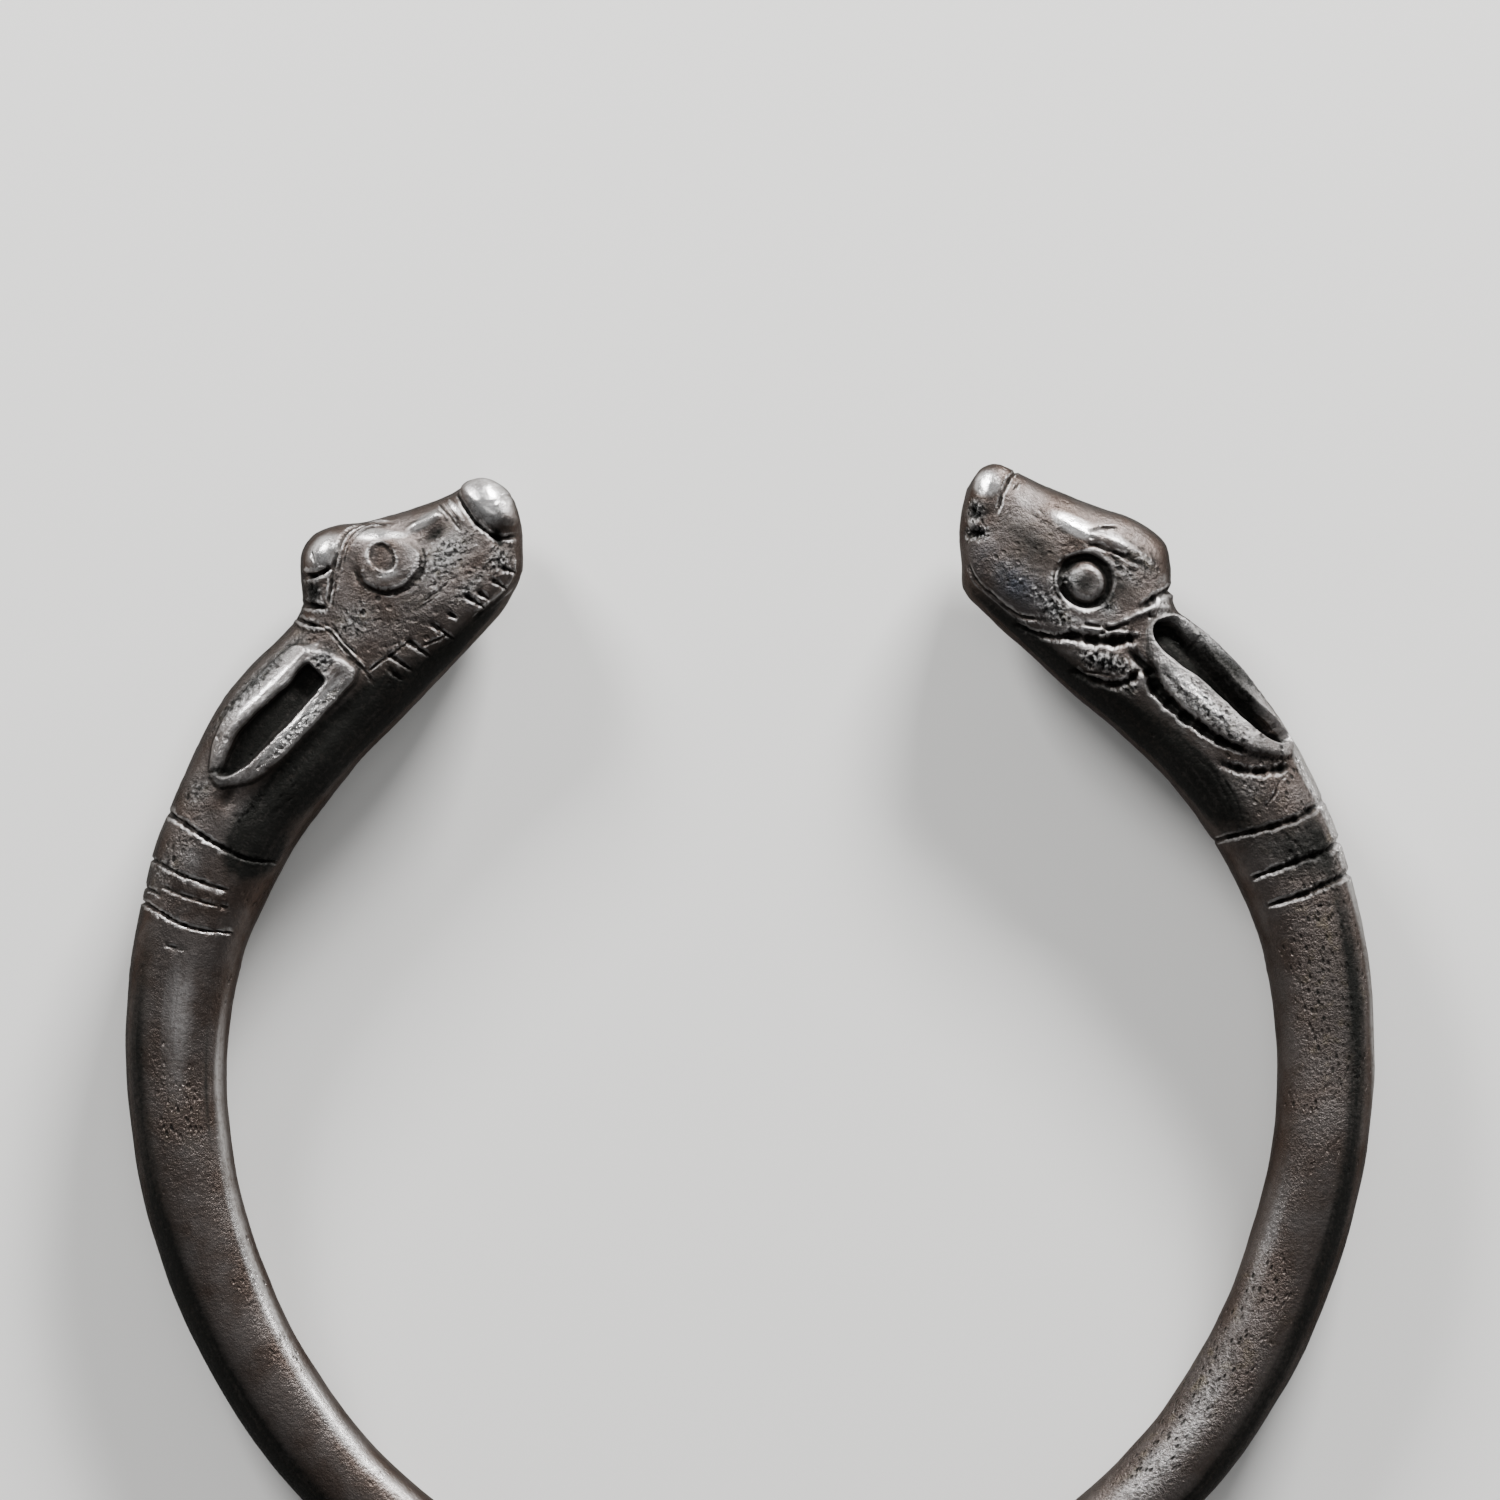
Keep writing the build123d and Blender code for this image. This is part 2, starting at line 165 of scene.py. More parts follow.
LEFT_WORK = (
    # Poll, and the cuts behind it
    Swell(0.30, 4.9, 9.4, 1.5, 0.9, 10),
    Swell(-0.25, 2.6, 8.4, 0.6, 0.6, 0),
    Cut(0.24, 0.50, ((3.15, 9.15), (3.67, 8.72), (4.4, 8.45)), 0.5, 0.1),
    Cut(0.22, 0.50, ((1.95, 8.15), (2.3, 7.65), (2.65, 7.1)), 0.3, 0.1),
    Cut(0.14, 0.40, ((1.15, 7.8), (1.3, 7.4), (1.55, 6.85))),
    *cuts(0.07, 0.14, ((4.1, 9.15), (4.4, 9.7)), ((4.15, 8.85), (4.55, 8.5))),
    Patch(0.17, 0.26, 2.75, 8.3, 0.6, 0.65),
    Ridge(0.14, 0.14, ((0.9, 7.9), (1.15, 7.0), (1.6, 6.5), (2.0, 6.1))),
    # Lines over the brow and down behind the cheek
    Cut(0.10, 0.20, ((8.5, 7.65), (8.0, 8.15), (7.3, 8.85), (6.4, 9.08), (5.4, 8.75), (4.5, 8.25),
                     (3.8, 7.75), (2.9, 7.2)), 0, 0.1),
    Cut(0.08, 0.14, ((8.2, 7.75), (7.6, 8.45), (6.8, 8.8), (6.0, 8.7), (5.1, 8.25), (4.3, 7.8),
                     (3.6, 7.35), (2.9, 6.8)), 0, 0.1),
    Cut(0.07, 0.10, ((7.9, 7.9), (7.3, 8.4), (6.6, 8.55), (5.8, 8.4), (5.0, 7.95))),
    Cut(0.09, 0.15, ((1.45, 7.05), (1.85, 6.1), (1.75, 5.0), (1.7, 4.0), (1.62, 3.0), (1.5, 2.2))),
    Cut(0.06, 0.09, ((1.8, 6.8), (2.1, 6.1), (2.0, 5.0), (1.95, 4.0))),
    Ridge(0.13, 0.10, ((1.9, 6.4), (1.88, 5.5), (1.83, 4.5), (1.75, 3.2))),
    # Eye
    Swell(0.24, 7.5, 8.1, 2.0, 0.85, -20),
    Disc(0.28, 0.14, 6.98, 6.48, 1.90, 1.78, -22, 6.5),
    Cut(0.07, 0.12, ((5.25, 7.4), (5.02, 6.7), (5.1, 5.9), (5.55, 5.15), (6.3, 4.62), (7.1, 4.45),
                     (7.9, 4.6), (8.5, 5.0), (8.85, 5.6)), 0, 0.05),
    Pad(-0.14, 0.07, ((6.4, 7.3), (6.9, 7.52), (7.4, 7.3), (7.52, 6.8), (7.35, 6.2), (6.95, 5.85),
                      (6.5, 5.95), (6.22, 6.4), (6.2, 6.9))),
    Ridge(0.09, 0.03, ((6.1, 6.2), (6.4, 5.8), (6.95, 5.62))),
    # Bridge and wrinkles behind the nose
    Ridge(0.32, 0.24, ((9.1, 6.75), (9.9, 6.4), (10.9, 6.15))),
    Swell(-0.30, 9.8, 5.55, 1.1, 0.42, -8),
    Cut(0.09, 0.12, ((11.25, 6.6), (11.1, 5.4), (11.0, 4.5))),
    Cut(0.07, 0.10, ((10.95, 6.4), (10.85, 5.6))),
    Ridge(0.19, 0.14, ((11.75, 6.4), (11.6, 5.6), (11.5, 4.7))),
    # Nose
    Pad(0.42, 0.60, ((12.35, 6.3), (12.1, 5.3), (12.15, 4.2), (12.5, 3.2), (13.0, 2.5), (13.6, 2.6),
                     (14.1, 3.3), (14.6, 4.5), (14.4, 5.6), (13.6, 6.4), (12.9, 6.7))),
    Swell(0.14, 13.3, 4.5, 0.8, 1.1, -10),
    Cut(0.07, 0.05, ((12.75, 4.75), (13.2, 4.35), (13.75, 4.3), (14.1, 4.0))),
    Cut(0.17, 0.34, ((12.9, 2.2), (12.4, 2.6), (12.0, 3.3), (11.9, 4.2), (12.05, 5.2),
                     (12.3, 6.2)), 0.6, 0.05),
    Swell(-0.45, 12.2, 2.8, 0.36, 0.8, -14),
    # Cheek
    Patch(0.09, 0.19, 9.3, 4.3, 2.6, 1.4),
    Patch(0.07, 0.19, 3.3, 5.4, 1.7, 1.3),
    Patch(0.08, 0.17, 11.4, 2.0, 1.1, 0.8),
    Patch(0.07, 0.17, 9.0, 2.1, 1.9, 0.6),
    Patch(0.035, 0.20, 6.0, 3.2, 3.6, 1.6),
    Cut(0.06, 0.09, ((5.4, 3.7), (6.2, 3.45), (7.0, 3.3), (8.7, 3.1))),
    *cuts(0.05, 0.08, ((5.7, 3.5), (6.8, 3.15), (8.0, 3.05)), ((3.1, 3.4), (3.7, 3.0), (4.5, 2.6))),
    *cuts(0.04, 0.06, ((7.2, 3.9), (8.4, 3.3), (9.6, 2.6)), ((9.3, 3.6), (10.1, 2.5), (10.7, 1.8))),
    # Mouth and lower lip
    Ridge(0.85, 0.08, ((2.2, 1.9), (4.0, 1.75), (6.0, 1.3), (8.0, 1.15), (10.0, 1.1), (11.6, 1.4))),
    Cut(0.075, 0.15, ((1.8, 2.9), (2.6, 2.78), (3.1, 2.65), (4.5, 2.45)), 0.2, 0.3),
    Cut(0.075, 0.13, ((4.8, 1.72), (5.6, 1.42), (6.4, 1.1)), 0.2, 0.3),
    Cut(0.08, 0.12, ((7.8, 0.75), (9.5, 0.5), (11.0, 0.55), (11.8, 0.9))),
    Ridge(0.14, 0.12, ((8.2, 1.0), (9.5, 0.75), (11.0, 0.85), (12.0, 1.4))),
    # Ear
    Pad(0.40, 0.36, ((0.75, 6.0), (0.2, 6.8), (-1.0, 7.1), (-3.0, 7.2), (-5.0, 7.05), (-6.6, 6.65),
                     (-7.7, 6.1), (-8.6, 5.3), (-8.8, 4.6), (-8.2, 3.9), (-7.1, 3.2), (-5.5, 2.9),
                     (-3.0, 2.85), (0.0, 2.95), (0.9, 3.0), (1.4, 3.35), (1.5, 4.0), (1.25, 4.8))),
    Pad(-0.08, 0.12, ((-0.4, 4.6), (-0.4, 5.6), (0.1, 5.6), (0.5, 5.4), (0.95, 4.9), (0.8, 4.6),
                      (0.2, 4.45))),
    Pad(-0.90, 0.20, ((-0.2, 5.6), (-2.0, 5.7), (-4.5, 5.9), (-6.3, 5.75), (-7.5, 5.25), (-8.25, 4.85),
                      (-8.1, 4.6), (-7.0, 4.15), (-5.0, 4.05), (-2.5, 4.05), (-1.0, 4.15), (-0.2, 4.35),
                      (-0.15, 5.0))),
    Patch(0.17, 0.20, 0.5, 5.1, 0.8, 0.6),
    Patch(0.09, 0.18, -3.0, 3.5, 4.5, 0.4),
    Ridge(0.13, 0.07, ((0.3, 6.1), (-2.0, 6.05), (-4.5, 6.15), (-6.4, 5.95), (-7.6, 5.45))),
    Ridge(0.12, 0.07, ((0.9, 4.25), (-0.8, 3.9), (-3.0, 3.8), (-5.0, 3.8), (-6.8, 3.9))),
    Swell(-0.30, -4.0, 2.3, 5.0, 0.6, 0),
    Swell(-0.20, -8.9, 3.6, 0.8, 0.5, 40),
    Cut(0.12, 0.20, ((-8.5, 5.5), (-8.2, 5.1))),
    # Neck
    Patch(0.11, 0.20, -3.0, 6.95, 4.8, 0.6),
    Patch(0.08, 0.20, -8.6, 2.4, 1.5, 0.5),
    *cuts(0.05, 0.06, ((-8.5, 2.1), (-6.3, 1.7)), ((-8.0, 1.7), (-5.0, 1.4)), ((-7.8, 1.3), (-5.8, 1.0))),
    # Collar lines
    Cut(0.19, 0.34, ((-11.75, 5.7), (-11.4, 3.85), (-10.95, 1.9), (-10.5, 0.6), (-9.5, -0.8)), 0.5, 0.05),
    Cut(0.14, 0.25, ((-14.35, 4.8), (-13.6, 2.4), (-12.5, 0.1)), 0.4, 0.05),
    Cut(0.10, 0.16, ((-14.95, 3.1), (-14.4, 1.65), (-13.2, -0.6)), 0.3, 0.05),
    Cut(0.13, 0.22, ((-15.7, 3.8), (-15.3, 2.6)), 0.4, 0.05),
    Cut(0.15, 0.28, ((-16.5, 3.6), (-16.05, 2.1), (-15.65, 0.6), (-15.0, -0.5), (-14.1, -1.7)), 0.6, 0.05),
    Cut(0.08, 0.13, ((-17.15, 0.65), (-16.85, 0.0), (-16.55, -0.55))),
    Patch(0.05, 0.22, -14.0, 3.6, 3.2, 1.1),
    Patch(0.06, 0.22, -9.6, 5.2, 1.4, 0.9),
    # Hatch strokes along the mouth
    *cuts(
        0.20,
        0.28,
        ((2.65, 2.3), (2.7, 1.2)),
        ((3.2, 2.75), (3.5, 1.2)),
        ((4.5, 2.5), (4.7, 1.0)),
        ((6.1, 2.2), (6.35, 0.7)),
        ((7.2, 2.0), (7.3, 1.4)),
        ((8.5, 2.0), (8.8, 0.7)),
        ((9.2, 1.6), (9.3, 0.8)),
        ((10.2, 1.5), (10.35, 0.6)),
        ((11.1, 1.6), (11.4, 0.8)),
        taper=0.75,
        burr=0.02,
    ),
)

RIGHT_WORK = (
    # Poll, brow and the cuts behind them
    Cut(0.22, 0.34, ((2.9, 8.1), (3.15, 7.3), (3.35, 6.6), (3.5, 6.0))),
    Ridge(0.22, 0.15, ((2.3, 7.2), (2.9, 6.5), (3.4, 5.6), (3.75, 4.7))),
    Cut(0.15, 0.26, ((3.5, 4.8), (3.9, 4.1), (4.3, 3.3))),
    Cut(0.10, 0.16, ((2.5, 6.2), (2.9, 5.9))),
    Cut(0.07, 0.14, ((7.4, 8.6), (8.0, 8.0), (8.6, 7.2))),
    Cut(0.12, 0.18, ((5.3, 7.75), (6.2, 7.5), (7.1, 7.2), (7.7, 6.95), (8.05, 6.6))),
    Cut(0.10, 0.10, ((4.9, 7.3), (5.8, 7.2), (7.0, 7.05))),
    Ridge(0.45, 0.15, ((4.6, 8.3), (6.0, 8.1), (7.3, 7.7), (8.4, 7.1))),
    Swell(0.15, 9.5, 6.8, 1.4, 0.6, -12),
    # Eye
    Disc(-0.44, 0.20, 6.84, 5.06, 1.68, 1.58, 0),
    Disc(0.50, 0.55, 6.72, 5.04, 1.34, 1.28, 0),
    Swell(0.22, 7.7, 4.4, 0.5, 0.9, 42),
    Patch(0.14, 0.20, 7.6, 4.3, 0.7, 0.9, 42),
    Cut(0.11, 0.14, ((8.5, 5.3), (8.4, 4.3), (7.8, 3.6), (6.9, 3.3)), 0, 0.1),
    Ridge(0.10, 0.08, ((6.0, 6.2), (6.4, 6.35), (6.9, 6.25))),
    # Nose and lips
    Pad(0.28, 0.80, ((13.5, 6.9), (13.6, 6.1), (13.4, 5.2), (13.2, 4.4), (13.6, 3.7), (14.4, 3.6),
                     (15.0, 4.3), (15.6, 5.5), (15.4, 6.5), (14.5, 7.2))),
    Cut(0.11, 0.18, ((13.8, 7.3), (13.7, 6.3), (13.5, 5.6), (13.2, 5.0), (13.0, 4.4))),
    Cut(0.07, 0.10, ((13.25, 6.8), (13.2, 6.1))),
    Swell(-0.36, 14.05, 3.8, 0.32, 0.26, 20),
    Swell(0.20, 13.55, 3.25, 0.42, 0.30, 30),
    Swell(-0.40, 13.15, 3.0, 0.52, 0.24, 128),
    Patch(0.24, 0.15, 13.1, 3.0, 0.8, 0.45, 128),
    Patch(0.16, 0.20, 13.9, 3.9, 0.6, 0.7),
    Cut(0.13, 0.20, ((6.9, 2.0), (7.5, 1.6), (8.1, 1.15), (9.0, 0.95), (10.5, 0.98), (11.5, 1.0),
                     (12.3, 1.35)), 0, 0.04),
    Swell(-0.20, 10.0, 0.6, 1.9, 0.25, 0),
    # Cheek
    Patch(0.05, 0.20, 9.8, 2.6, 2.6, 1.5),
    Patch(0.14, 0.20, 7.0, 2.7, 1.7, 0.7),
    Patch(0.10, 0.20, 4.9, 4.8, 0.8, 0.6),
    Patch(0.07, 0.20, 5.6, 6.9, 1.6, 0.6),
    Patch(0.06, 0.18, 5.2, 7.9, 1.6, 0.8),
    Patch(0.025, 0.22, 10.8, 5.0, 2.6, 2.0),
    *cuts(0.04, 0.05, ((12.2, 6.4), (11.0, 6.3), (9.8, 6.4)), ((11.8, 5.9), (10.4, 6.0), (9.0, 6.5)),
          ((9.4, 6.0), (8.5, 6.2), (7.7, 6.1))),
    # Jaw, mouth corner and throat
    Cut(0.34, 0.50, ((2.7, 4.5), (3.3, 3.7), (4.2, 2.95), (5.5, 2.15)), 0, 0.03),
    Cut(0.22, 0.34, ((5.3, 2.3), (5.9, 1.6), (6.9, 1.0), (8.1, 0.55)), 0.3, 0.03),
    Ridge(0.14, 0.16, ((2.6, 4.9), (3.4, 4.2), (4.3, 3.6), (5.2, 3.0))),
    Cut(0.10, 0.16, ((3.3, 4.6), (4.2, 3.9), (5.3, 3.2))),
    Cut(0.28, 0.40, ((1.25, 3.3), (1.3, 2.5), (1.7, 1.85), (2.4, 1.4), (3.1, 1.1), (4.0, 0.85)), 0.3, 0.04),
    Cut(0.09, 0.12, ((2.3, 2.1), (3.0, 1.6), (3.6, 1.2)), 0, 0.1),
    Swell(-0.45, 1.6, 3.75, 0.9, 0.26, 4),
    Swell(0.16, 3.0, 2.45, 1.8, 0.6, -29),
    Patch(0.24, 0.26, 3.0, 2.4, 1.7, 0.6, -29),
    Patch(0.10, 0.20, 1.0, 2.2, 0.6, 0.6),
    # Ear
    Pad(0.36, 0.35, ((2.6, 5.9), (2.2, 6.9), (0.5, 7.4), (-2.0, 7.4), (-5.0, 7.1), (-7.0, 6.6),
                     (-8.2, 5.9), (-8.3, 5.3), (-7.5, 4.6), (-6.0, 3.8), (-4.0, 3.55), (-1.0, 3.4),
                     (0.8, 3.9), (1.9, 4.7))),
    Pad(-1.35, 0.26, ((2.4, 5.85), (2.0, 6.65), (0.0, 6.8), (-1.5, 6.5), (-3.0, 6.3), (-5.0, 6.25),
                      (-6.5, 6.2), (-7.6, 5.9), (-7.3, 5.5), (-6.3, 5.2), (-5.0, 5.15), (-1.5, 5.2),
                      (0.0, 5.05), (1.0, 5.0), (2.0, 5.25))),
    Swell(0.22, 0.7, 6.5, 0.25, 0.12, 0),
    Swell(0.18, 0.2, 6.5, 0.18, 0.10, 20),
    Ridge(0.60, 0.14, ((-6.5, 4.5), (-4.0, 4.4), (-1.5, 4.4), (0.8, 4.6))),
    Patch(0.09, 0.19, -3.0, 4.3, 5.0, 0.8),
    Patch(0.05, 0.20, -7.6, 2.5, 2.2, 1.3),
    Patch(0.14, 0.18, -2.5, 6.9, 5.0, 0.5),
    Cut(0.44, 0.52, ((0.9, 3.8), (0.3, 3.4), (-1.4, 3.1), (-3.4, 3.25), (-5.0, 3.55),
                     (-6.0, 3.95)), 0.5, 0.08),
    Cut(0.27, 0.36, ((-8.65, 5.0), (-8.2, 4.4), (-7.7, 3.8), (-7.0, 3.2), (-6.2, 2.8),
                     (-5.6, 2.5)), 0, 0.02),
    Cut(0.07, 0.10, ((-8.8, 4.9), (-8.7, 4.0), (-9.0, 3.2), (-9.0, 2.3))),
    # Collar lines
    Cut(0.26, 0.36, ((-11.3, 4.9), (-11.1, 4.0), (-10.7, 2.9), (-10.0, 1.7), (-9.05, 0.3),
                     (-8.3, -0.9)), 0.5, 0.05),
    *cuts(0.26, 0.34, ((-13.6, 4.3), (-13.4, 3.2), (-12.6, 1.65), (-11.9, 0.35), (-11.2, -1.0)),
          ((-15.2, 3.1), (-14.9, 2.4), (-13.9, 0.25), (-12.9, -1.6)), taper=0.5, burr=0.05),
    Cut(0.08, 0.13, ((-14.9, 0.2), (-15.2, 0.5), (-15.5, 0.9))),
    Patch(0.06, 0.22, -12.3, 2.0, 3.4, 1.4, -30),
    *cuts(0.05, 0.07, ((-4.5, 2.1), (-6.5, 1.6), (-8.0, 0.9)), ((-6.0, 2.1), (-7.6, 1.6), (-8.8, 0.9))),
    Cut(0.05, 0.06, ((-5.5, 1.3), (-7.0, 0.9), (-8.2, 0.2))),
)

# Rubbed metal and painted highlights on the left head, and dark tarnish and painted shade where the share is
# below nought
LEFT_WEAR_AND_LIGHT = (
    Wear(1.1, 13.3, 4.7, 1.1, 1.5, 0),
    Wear(1.0, 12.8, 4.6, 0.6, 1.1, -10),
    Wear(1.2, 4.9, 9.3, 1.2, 0.8, 0),
    Wear(1.1, 7.4, 7.85, 1.2, 0.40, -46),
    Wear(0.42, 6.4, 5.9, 1.5, 1.2, -46),
    Wear(-0.40, 8.3, 5.8, 0.8, 0.9, 0),
    Wear(0.5, 8.35, 6.9, 0.6, 0.25, -46),
    Wear(-0.30, 6.8, 6.7, 0.6, 0.7, 0),
    Wear(0.7, 6.45, 5.8, 0.5, 0.16, -30),
    Wear(1.1, 10.0, 6.45, 1.3, 0.35, -12),
    Wear(0.8, 11.65, 5.8, 0.25, 0.6, 0),
    Wear(0.8, 13.6, 2.4, 1.2, 0.35, 50),
    Wear(1.1, -3.0, 6.2, 4.6, 0.20, -2),
    Wear(1.5, -3.2, 3.75, 4.6, 0.34, 0),
    Wear(0.7, 0.4, 6.1, 0.35, 0.5, 20),
    Wear(0.9, 0.5, 5.1, 0.7, 0.6, 0),
    Wear(-0.45, -3.4, 7.0, 5.2, 0.45, -2),
    Wear(-0.6, 1.5, 3.8, 0.4, 0.8, 0),
    Wear(-0.3, -8.0, 5.0, 0.9, 1.4, 20),
    Wear(0.45, 9.6, 4.4, 2.2, 1.3, 0),
    Wear(-0.8, 2.6, 8.3, 0.7, 0.9, 0),
    Wear(-1.5, -4.0, 1.5, 8.5, 1.6, 0),
    Wear(-0.9, -10.0, 0.2, 2.2, 1.5, -20),
    Wear(-1.0, 5.0, 0.2, 7.5, 0.9, 0),
    Wear(-1.2, -3.8, 4.95, 4.2, 0.8, 0),
    Wear(0.50, -12.5, 2.3, 1.8, 2.2, 0),
)
# Rubbed metal and painted highlights on the right head, and dark tarnish and painted shade where the share is
# below nought
RIGHT_WEAR_AND_LIGHT = (
    Wear(1.6, 14.4, 5.4, 0.7, 0.7, 0),
    Wear(1.7, 9.3, 6.9, 1.4, 0.50, -12),
    Wear(0.6, 7.0, 7.95, 2.0, 0.45, -8),
    Wear(0.5, 3.6, 8.2, 0.4, 0.9, 20),
    Wear(0.35, 12.3, 6.0, 1.4, 0.9, 0),
    Wear(1.3, -2.2, 4.5, 3.2, 0.40, 0),
    Wear(0.7, 2.9, 7.2, 0.5, 0.9, 20),
    Wear(0.3, 7.2, 2.6, 1.8, 0.8, 0),
    Wear(-0.55, -3.0, 6.8, 5.0, 0.45, -3),
    Wear(-0.40, -6.8, 4.5, 1.4, 0.8, 0),
    Wear(-0.7, 6.5, 6.4, 1.5, 0.4, 5),
    Wear(-0.55, 6.7, 4.95, 0.9, 0.8, 0),
    Wear(0.35, 7.15, 5.65, 0.35, 0.2, -42),
    Wear(-0.5, 5.2, 5.2, 0.4, 1.1, 0),
    Wear(-0.5, 10.3, 4.5, 3.2, 1.5, 0),
    Wear(-0.3, 4.6, 6.4, 1.0, 1.2, 0),
    Wear(-0.5, -12.2, 2.4, 2.4, 2.4, -30),
    Wear(-1.2, -3.5, 0.9, 7.0, 1.8, 0),
    Wear(-1.0, 5.5, 0.3, 7.0, 1.0, 0),
    Wear(-1.2, -2.5, 5.8, 5.0, 0.7, 0),
    Wear(-1.2, 0.9, 5.9, 1.4, 0.8, 0),
)

# How far a chisel wanders from its line, over what length, the seed of its wandering, and how uneven it cuts
HAND_SHIFT = 0.05
HAND_STEP = 1.1
HAND_SEED = 1
UNEVEN = 0.22

# The two beats of that unevenness: radians for each millimetre of the cut, and for each of its whole
# length, so that no two cuts beat alike
Beat = namedtuple("Beat", "share rate phase")
BEATS = (Beat(1.0, 5.3, 9), Beat(0.6, 12.7, 5))

# A cut or ridge fades out over this share of its length at each end, or over this length where that is
# less. It starts bluntly, with this much of the fade already done.
FADE_SHARE = 0.4
LONGEST_FADE = 0.5
BLUNT_END = 0.35

# How round a groove's bottom and a pad's edge are, below 1 for steeper walls
STEEPNESS = 0.8

# Where the burr beside a groove stands highest and how far it reaches from there, in the groove's half width
BURR_PLACE = 1.35
BURR_REACH = 0.65

# How fast a soft oval falls off from its middle, and the share below which it is nothing
OVAL_FALL = 1.5
OVAL_END = 0.02

# How deep a patch's pits are on the whole, how much they differ, and how high its grains may stand
PIT_MEAN = 0.25
PIT_SPREAD = 1.6
PIT_CRUST = -0.6

# Grain of cast and pitted metal: its fall from octave to octave, their ratio and their number
GRAIN_OCTAVES = (0.6, 2.1, 3)

# Skin of the cast heads: uneven all over
SKIN_DEPTH = 0.017
SKIN_GRAIN = 0.42

# Facets left by the hammer: their size, a shift that tells one kind from the other, and their share
Facet = namedtuple("Facet", "size shift share")
FACETS = (Facet(4.0, 0.0, 1.0), Facet(1.7, 31.0, 0.5))

# How far a place has to face up or down, as a share, for the chasing to begin and to be whole, and for the
# painted shade along the hoop's edges to begin to thin and to be gone
CHASED_FACING = (0.12, 0.57)
EDGE_SHADE_FACING = (0.15, 0.75)

# Chased work lies only beyond this line across the hoop, on the side of the gap
CHASED_FROM = 2.0

# Sections as deep as the rod are as round as it is, and full ones as blunt as the heads
ROD_DEPTH = 5.5
FULL_DEPTH = 7.0

# A section of this fullness is an oval. A muzzle gets nearer to it towards its tip, from this width down.
OVAL_FULLNESS = 2
BLUNT_WIDTH = 4.5

# Where the metal is bluish, on the right cheek
BLUE_PATCH = Swell(1.0, 10.0, 2.3, 2.6, 1.3, 0)

# Where crests and hollows are told apart: how far round a place to look, and in which directions
FINE_REACH = 0.16
WIDE_REACH = 0.70
LOOKS = np.radians(np.arange(15, 360, 60))

# How deep a patch is pitted where its skin is rough all over
FULLY_ROUGH = 0.12

# Pitted places on the rod: the angle, the distance from the hoop's middle, the length in degrees and how
# pitted. Such a place reaches this far across the rod.
RoughPlace = namedtuple("RoughPlace", "angle out length share")
ROUGH_ROD = (
    RoughPlace(6, 32.8, 13, 1.0),
    RoughPlace(-26, 31.3, 4, 0.6),
    RoughPlace(-36, 31.6, 8, 1.0),
    RoughPlace(-46, 32.2, 5, 0.7),
    RoughPlace(186, 32.5, 8, 0.25),
    RoughPlace(22, 34.7, 9, 0.8),
)
ROUGH_REACH = 2.2

# Worn bands with painted highlights, such as bright rims along the edges, or, with a share below nought,
# bands of dark tarnish and painted shade that run along the rod: the angle of the band's middle, how long it
# is in degrees, the way it faces, 1 straight out of the hoop and -1 into it, and how wide it is in that
# measure
RodWearAndLightBand = namedtuple("RodWearAndLightBand", "share angle length facing width")
ROD_WEAR_AND_LIGHT_BANDS = (
    RodWearAndLightBand(0.85, 28, 6, 0.90, 0.15),
    RodWearAndLightBand(0.9, 19, 8, 0.93, 0.15),
    RodWearAndLightBand(0.8, 2, 10, 0.98, 0.12),
    RodWearAndLightBand(-0.60, 5, 15, 0.58, 0.24),
    RodWearAndLightBand(-0.34, 4, 12, 0.05, 0.40),
    RodWearAndLightBand(-0.75, -20, 14, 0.62, 0.28),
    RodWearAndLightBand(-0.70, -46, 15, 0.74, 0.34),
    RodWearAndLightBand(0.55, -46, 14, -0.30, 0.38),
    RodWearAndLightBand(0.40, -20, 14, -0.60, 0.25),
    RodWearAndLightBand(-0.30, 8, 14, -0.85, 0.25),
    RodWearAndLightBand(-0.55, 180, 12, 0.66, 0.30),
    RodWearAndLightBand(-0.80, 204, 14, 0.72, 0.38),
    RodWearAndLightBand(-0.80, 228, 16, 0.72, 0.38),
    RodWearAndLightBand(0.46, 178, 10, 0.00, 0.30),
    RodWearAndLightBand(-0.55, 184, 10, -0.58, 0.09),
    RodWearAndLightBand(0.55, 184, 14, -0.86, 0.14),
    RodWearAndLightBand(0.72, 206, 14, -0.78, 0.17),
    RodWearAndLightBand(0.58, 228, 16, -0.66, 0.22),
)

# The plain tube before it is bent and drawn out is straight and upright, with the left muzzle at its foot
TUBE_RADIUS = 3.0
TUBE_LENGTH = 240.0

# How much of the tube, at each end, is neck and head
HEAD_SHARE = 0.20

# How many faces a division adds for each face, with what it adds to the faces beside it
FACES_A_DIVISION = 4

Head = namedtuple("Head", "side corner rise rows work wear")
LEFT_HEAD = Head(-1, LEFT_CORNER, LEFT_RISE, LEFT_HEAD_ROWS, LEFT_WORK, LEFT_WEAR_AND_LIGHT)
RIGHT_HEAD = Head(1, RIGHT_CORNER, RIGHT_RISE, RIGHT_HEAD_ROWS, RIGHT_WORK, RIGHT_WEAR_AND_LIGHT)
HEADS = (LEFT_HEAD, RIGHT_HEAD)


def a_length(name, description, default):
    return FloatProperty(name=name, description=description, default=default, unit="LENGTH")


def a_colour(name, description, default):
    return FloatVectorProperty(name=name, description=description, default=default, subtype="COLOR")


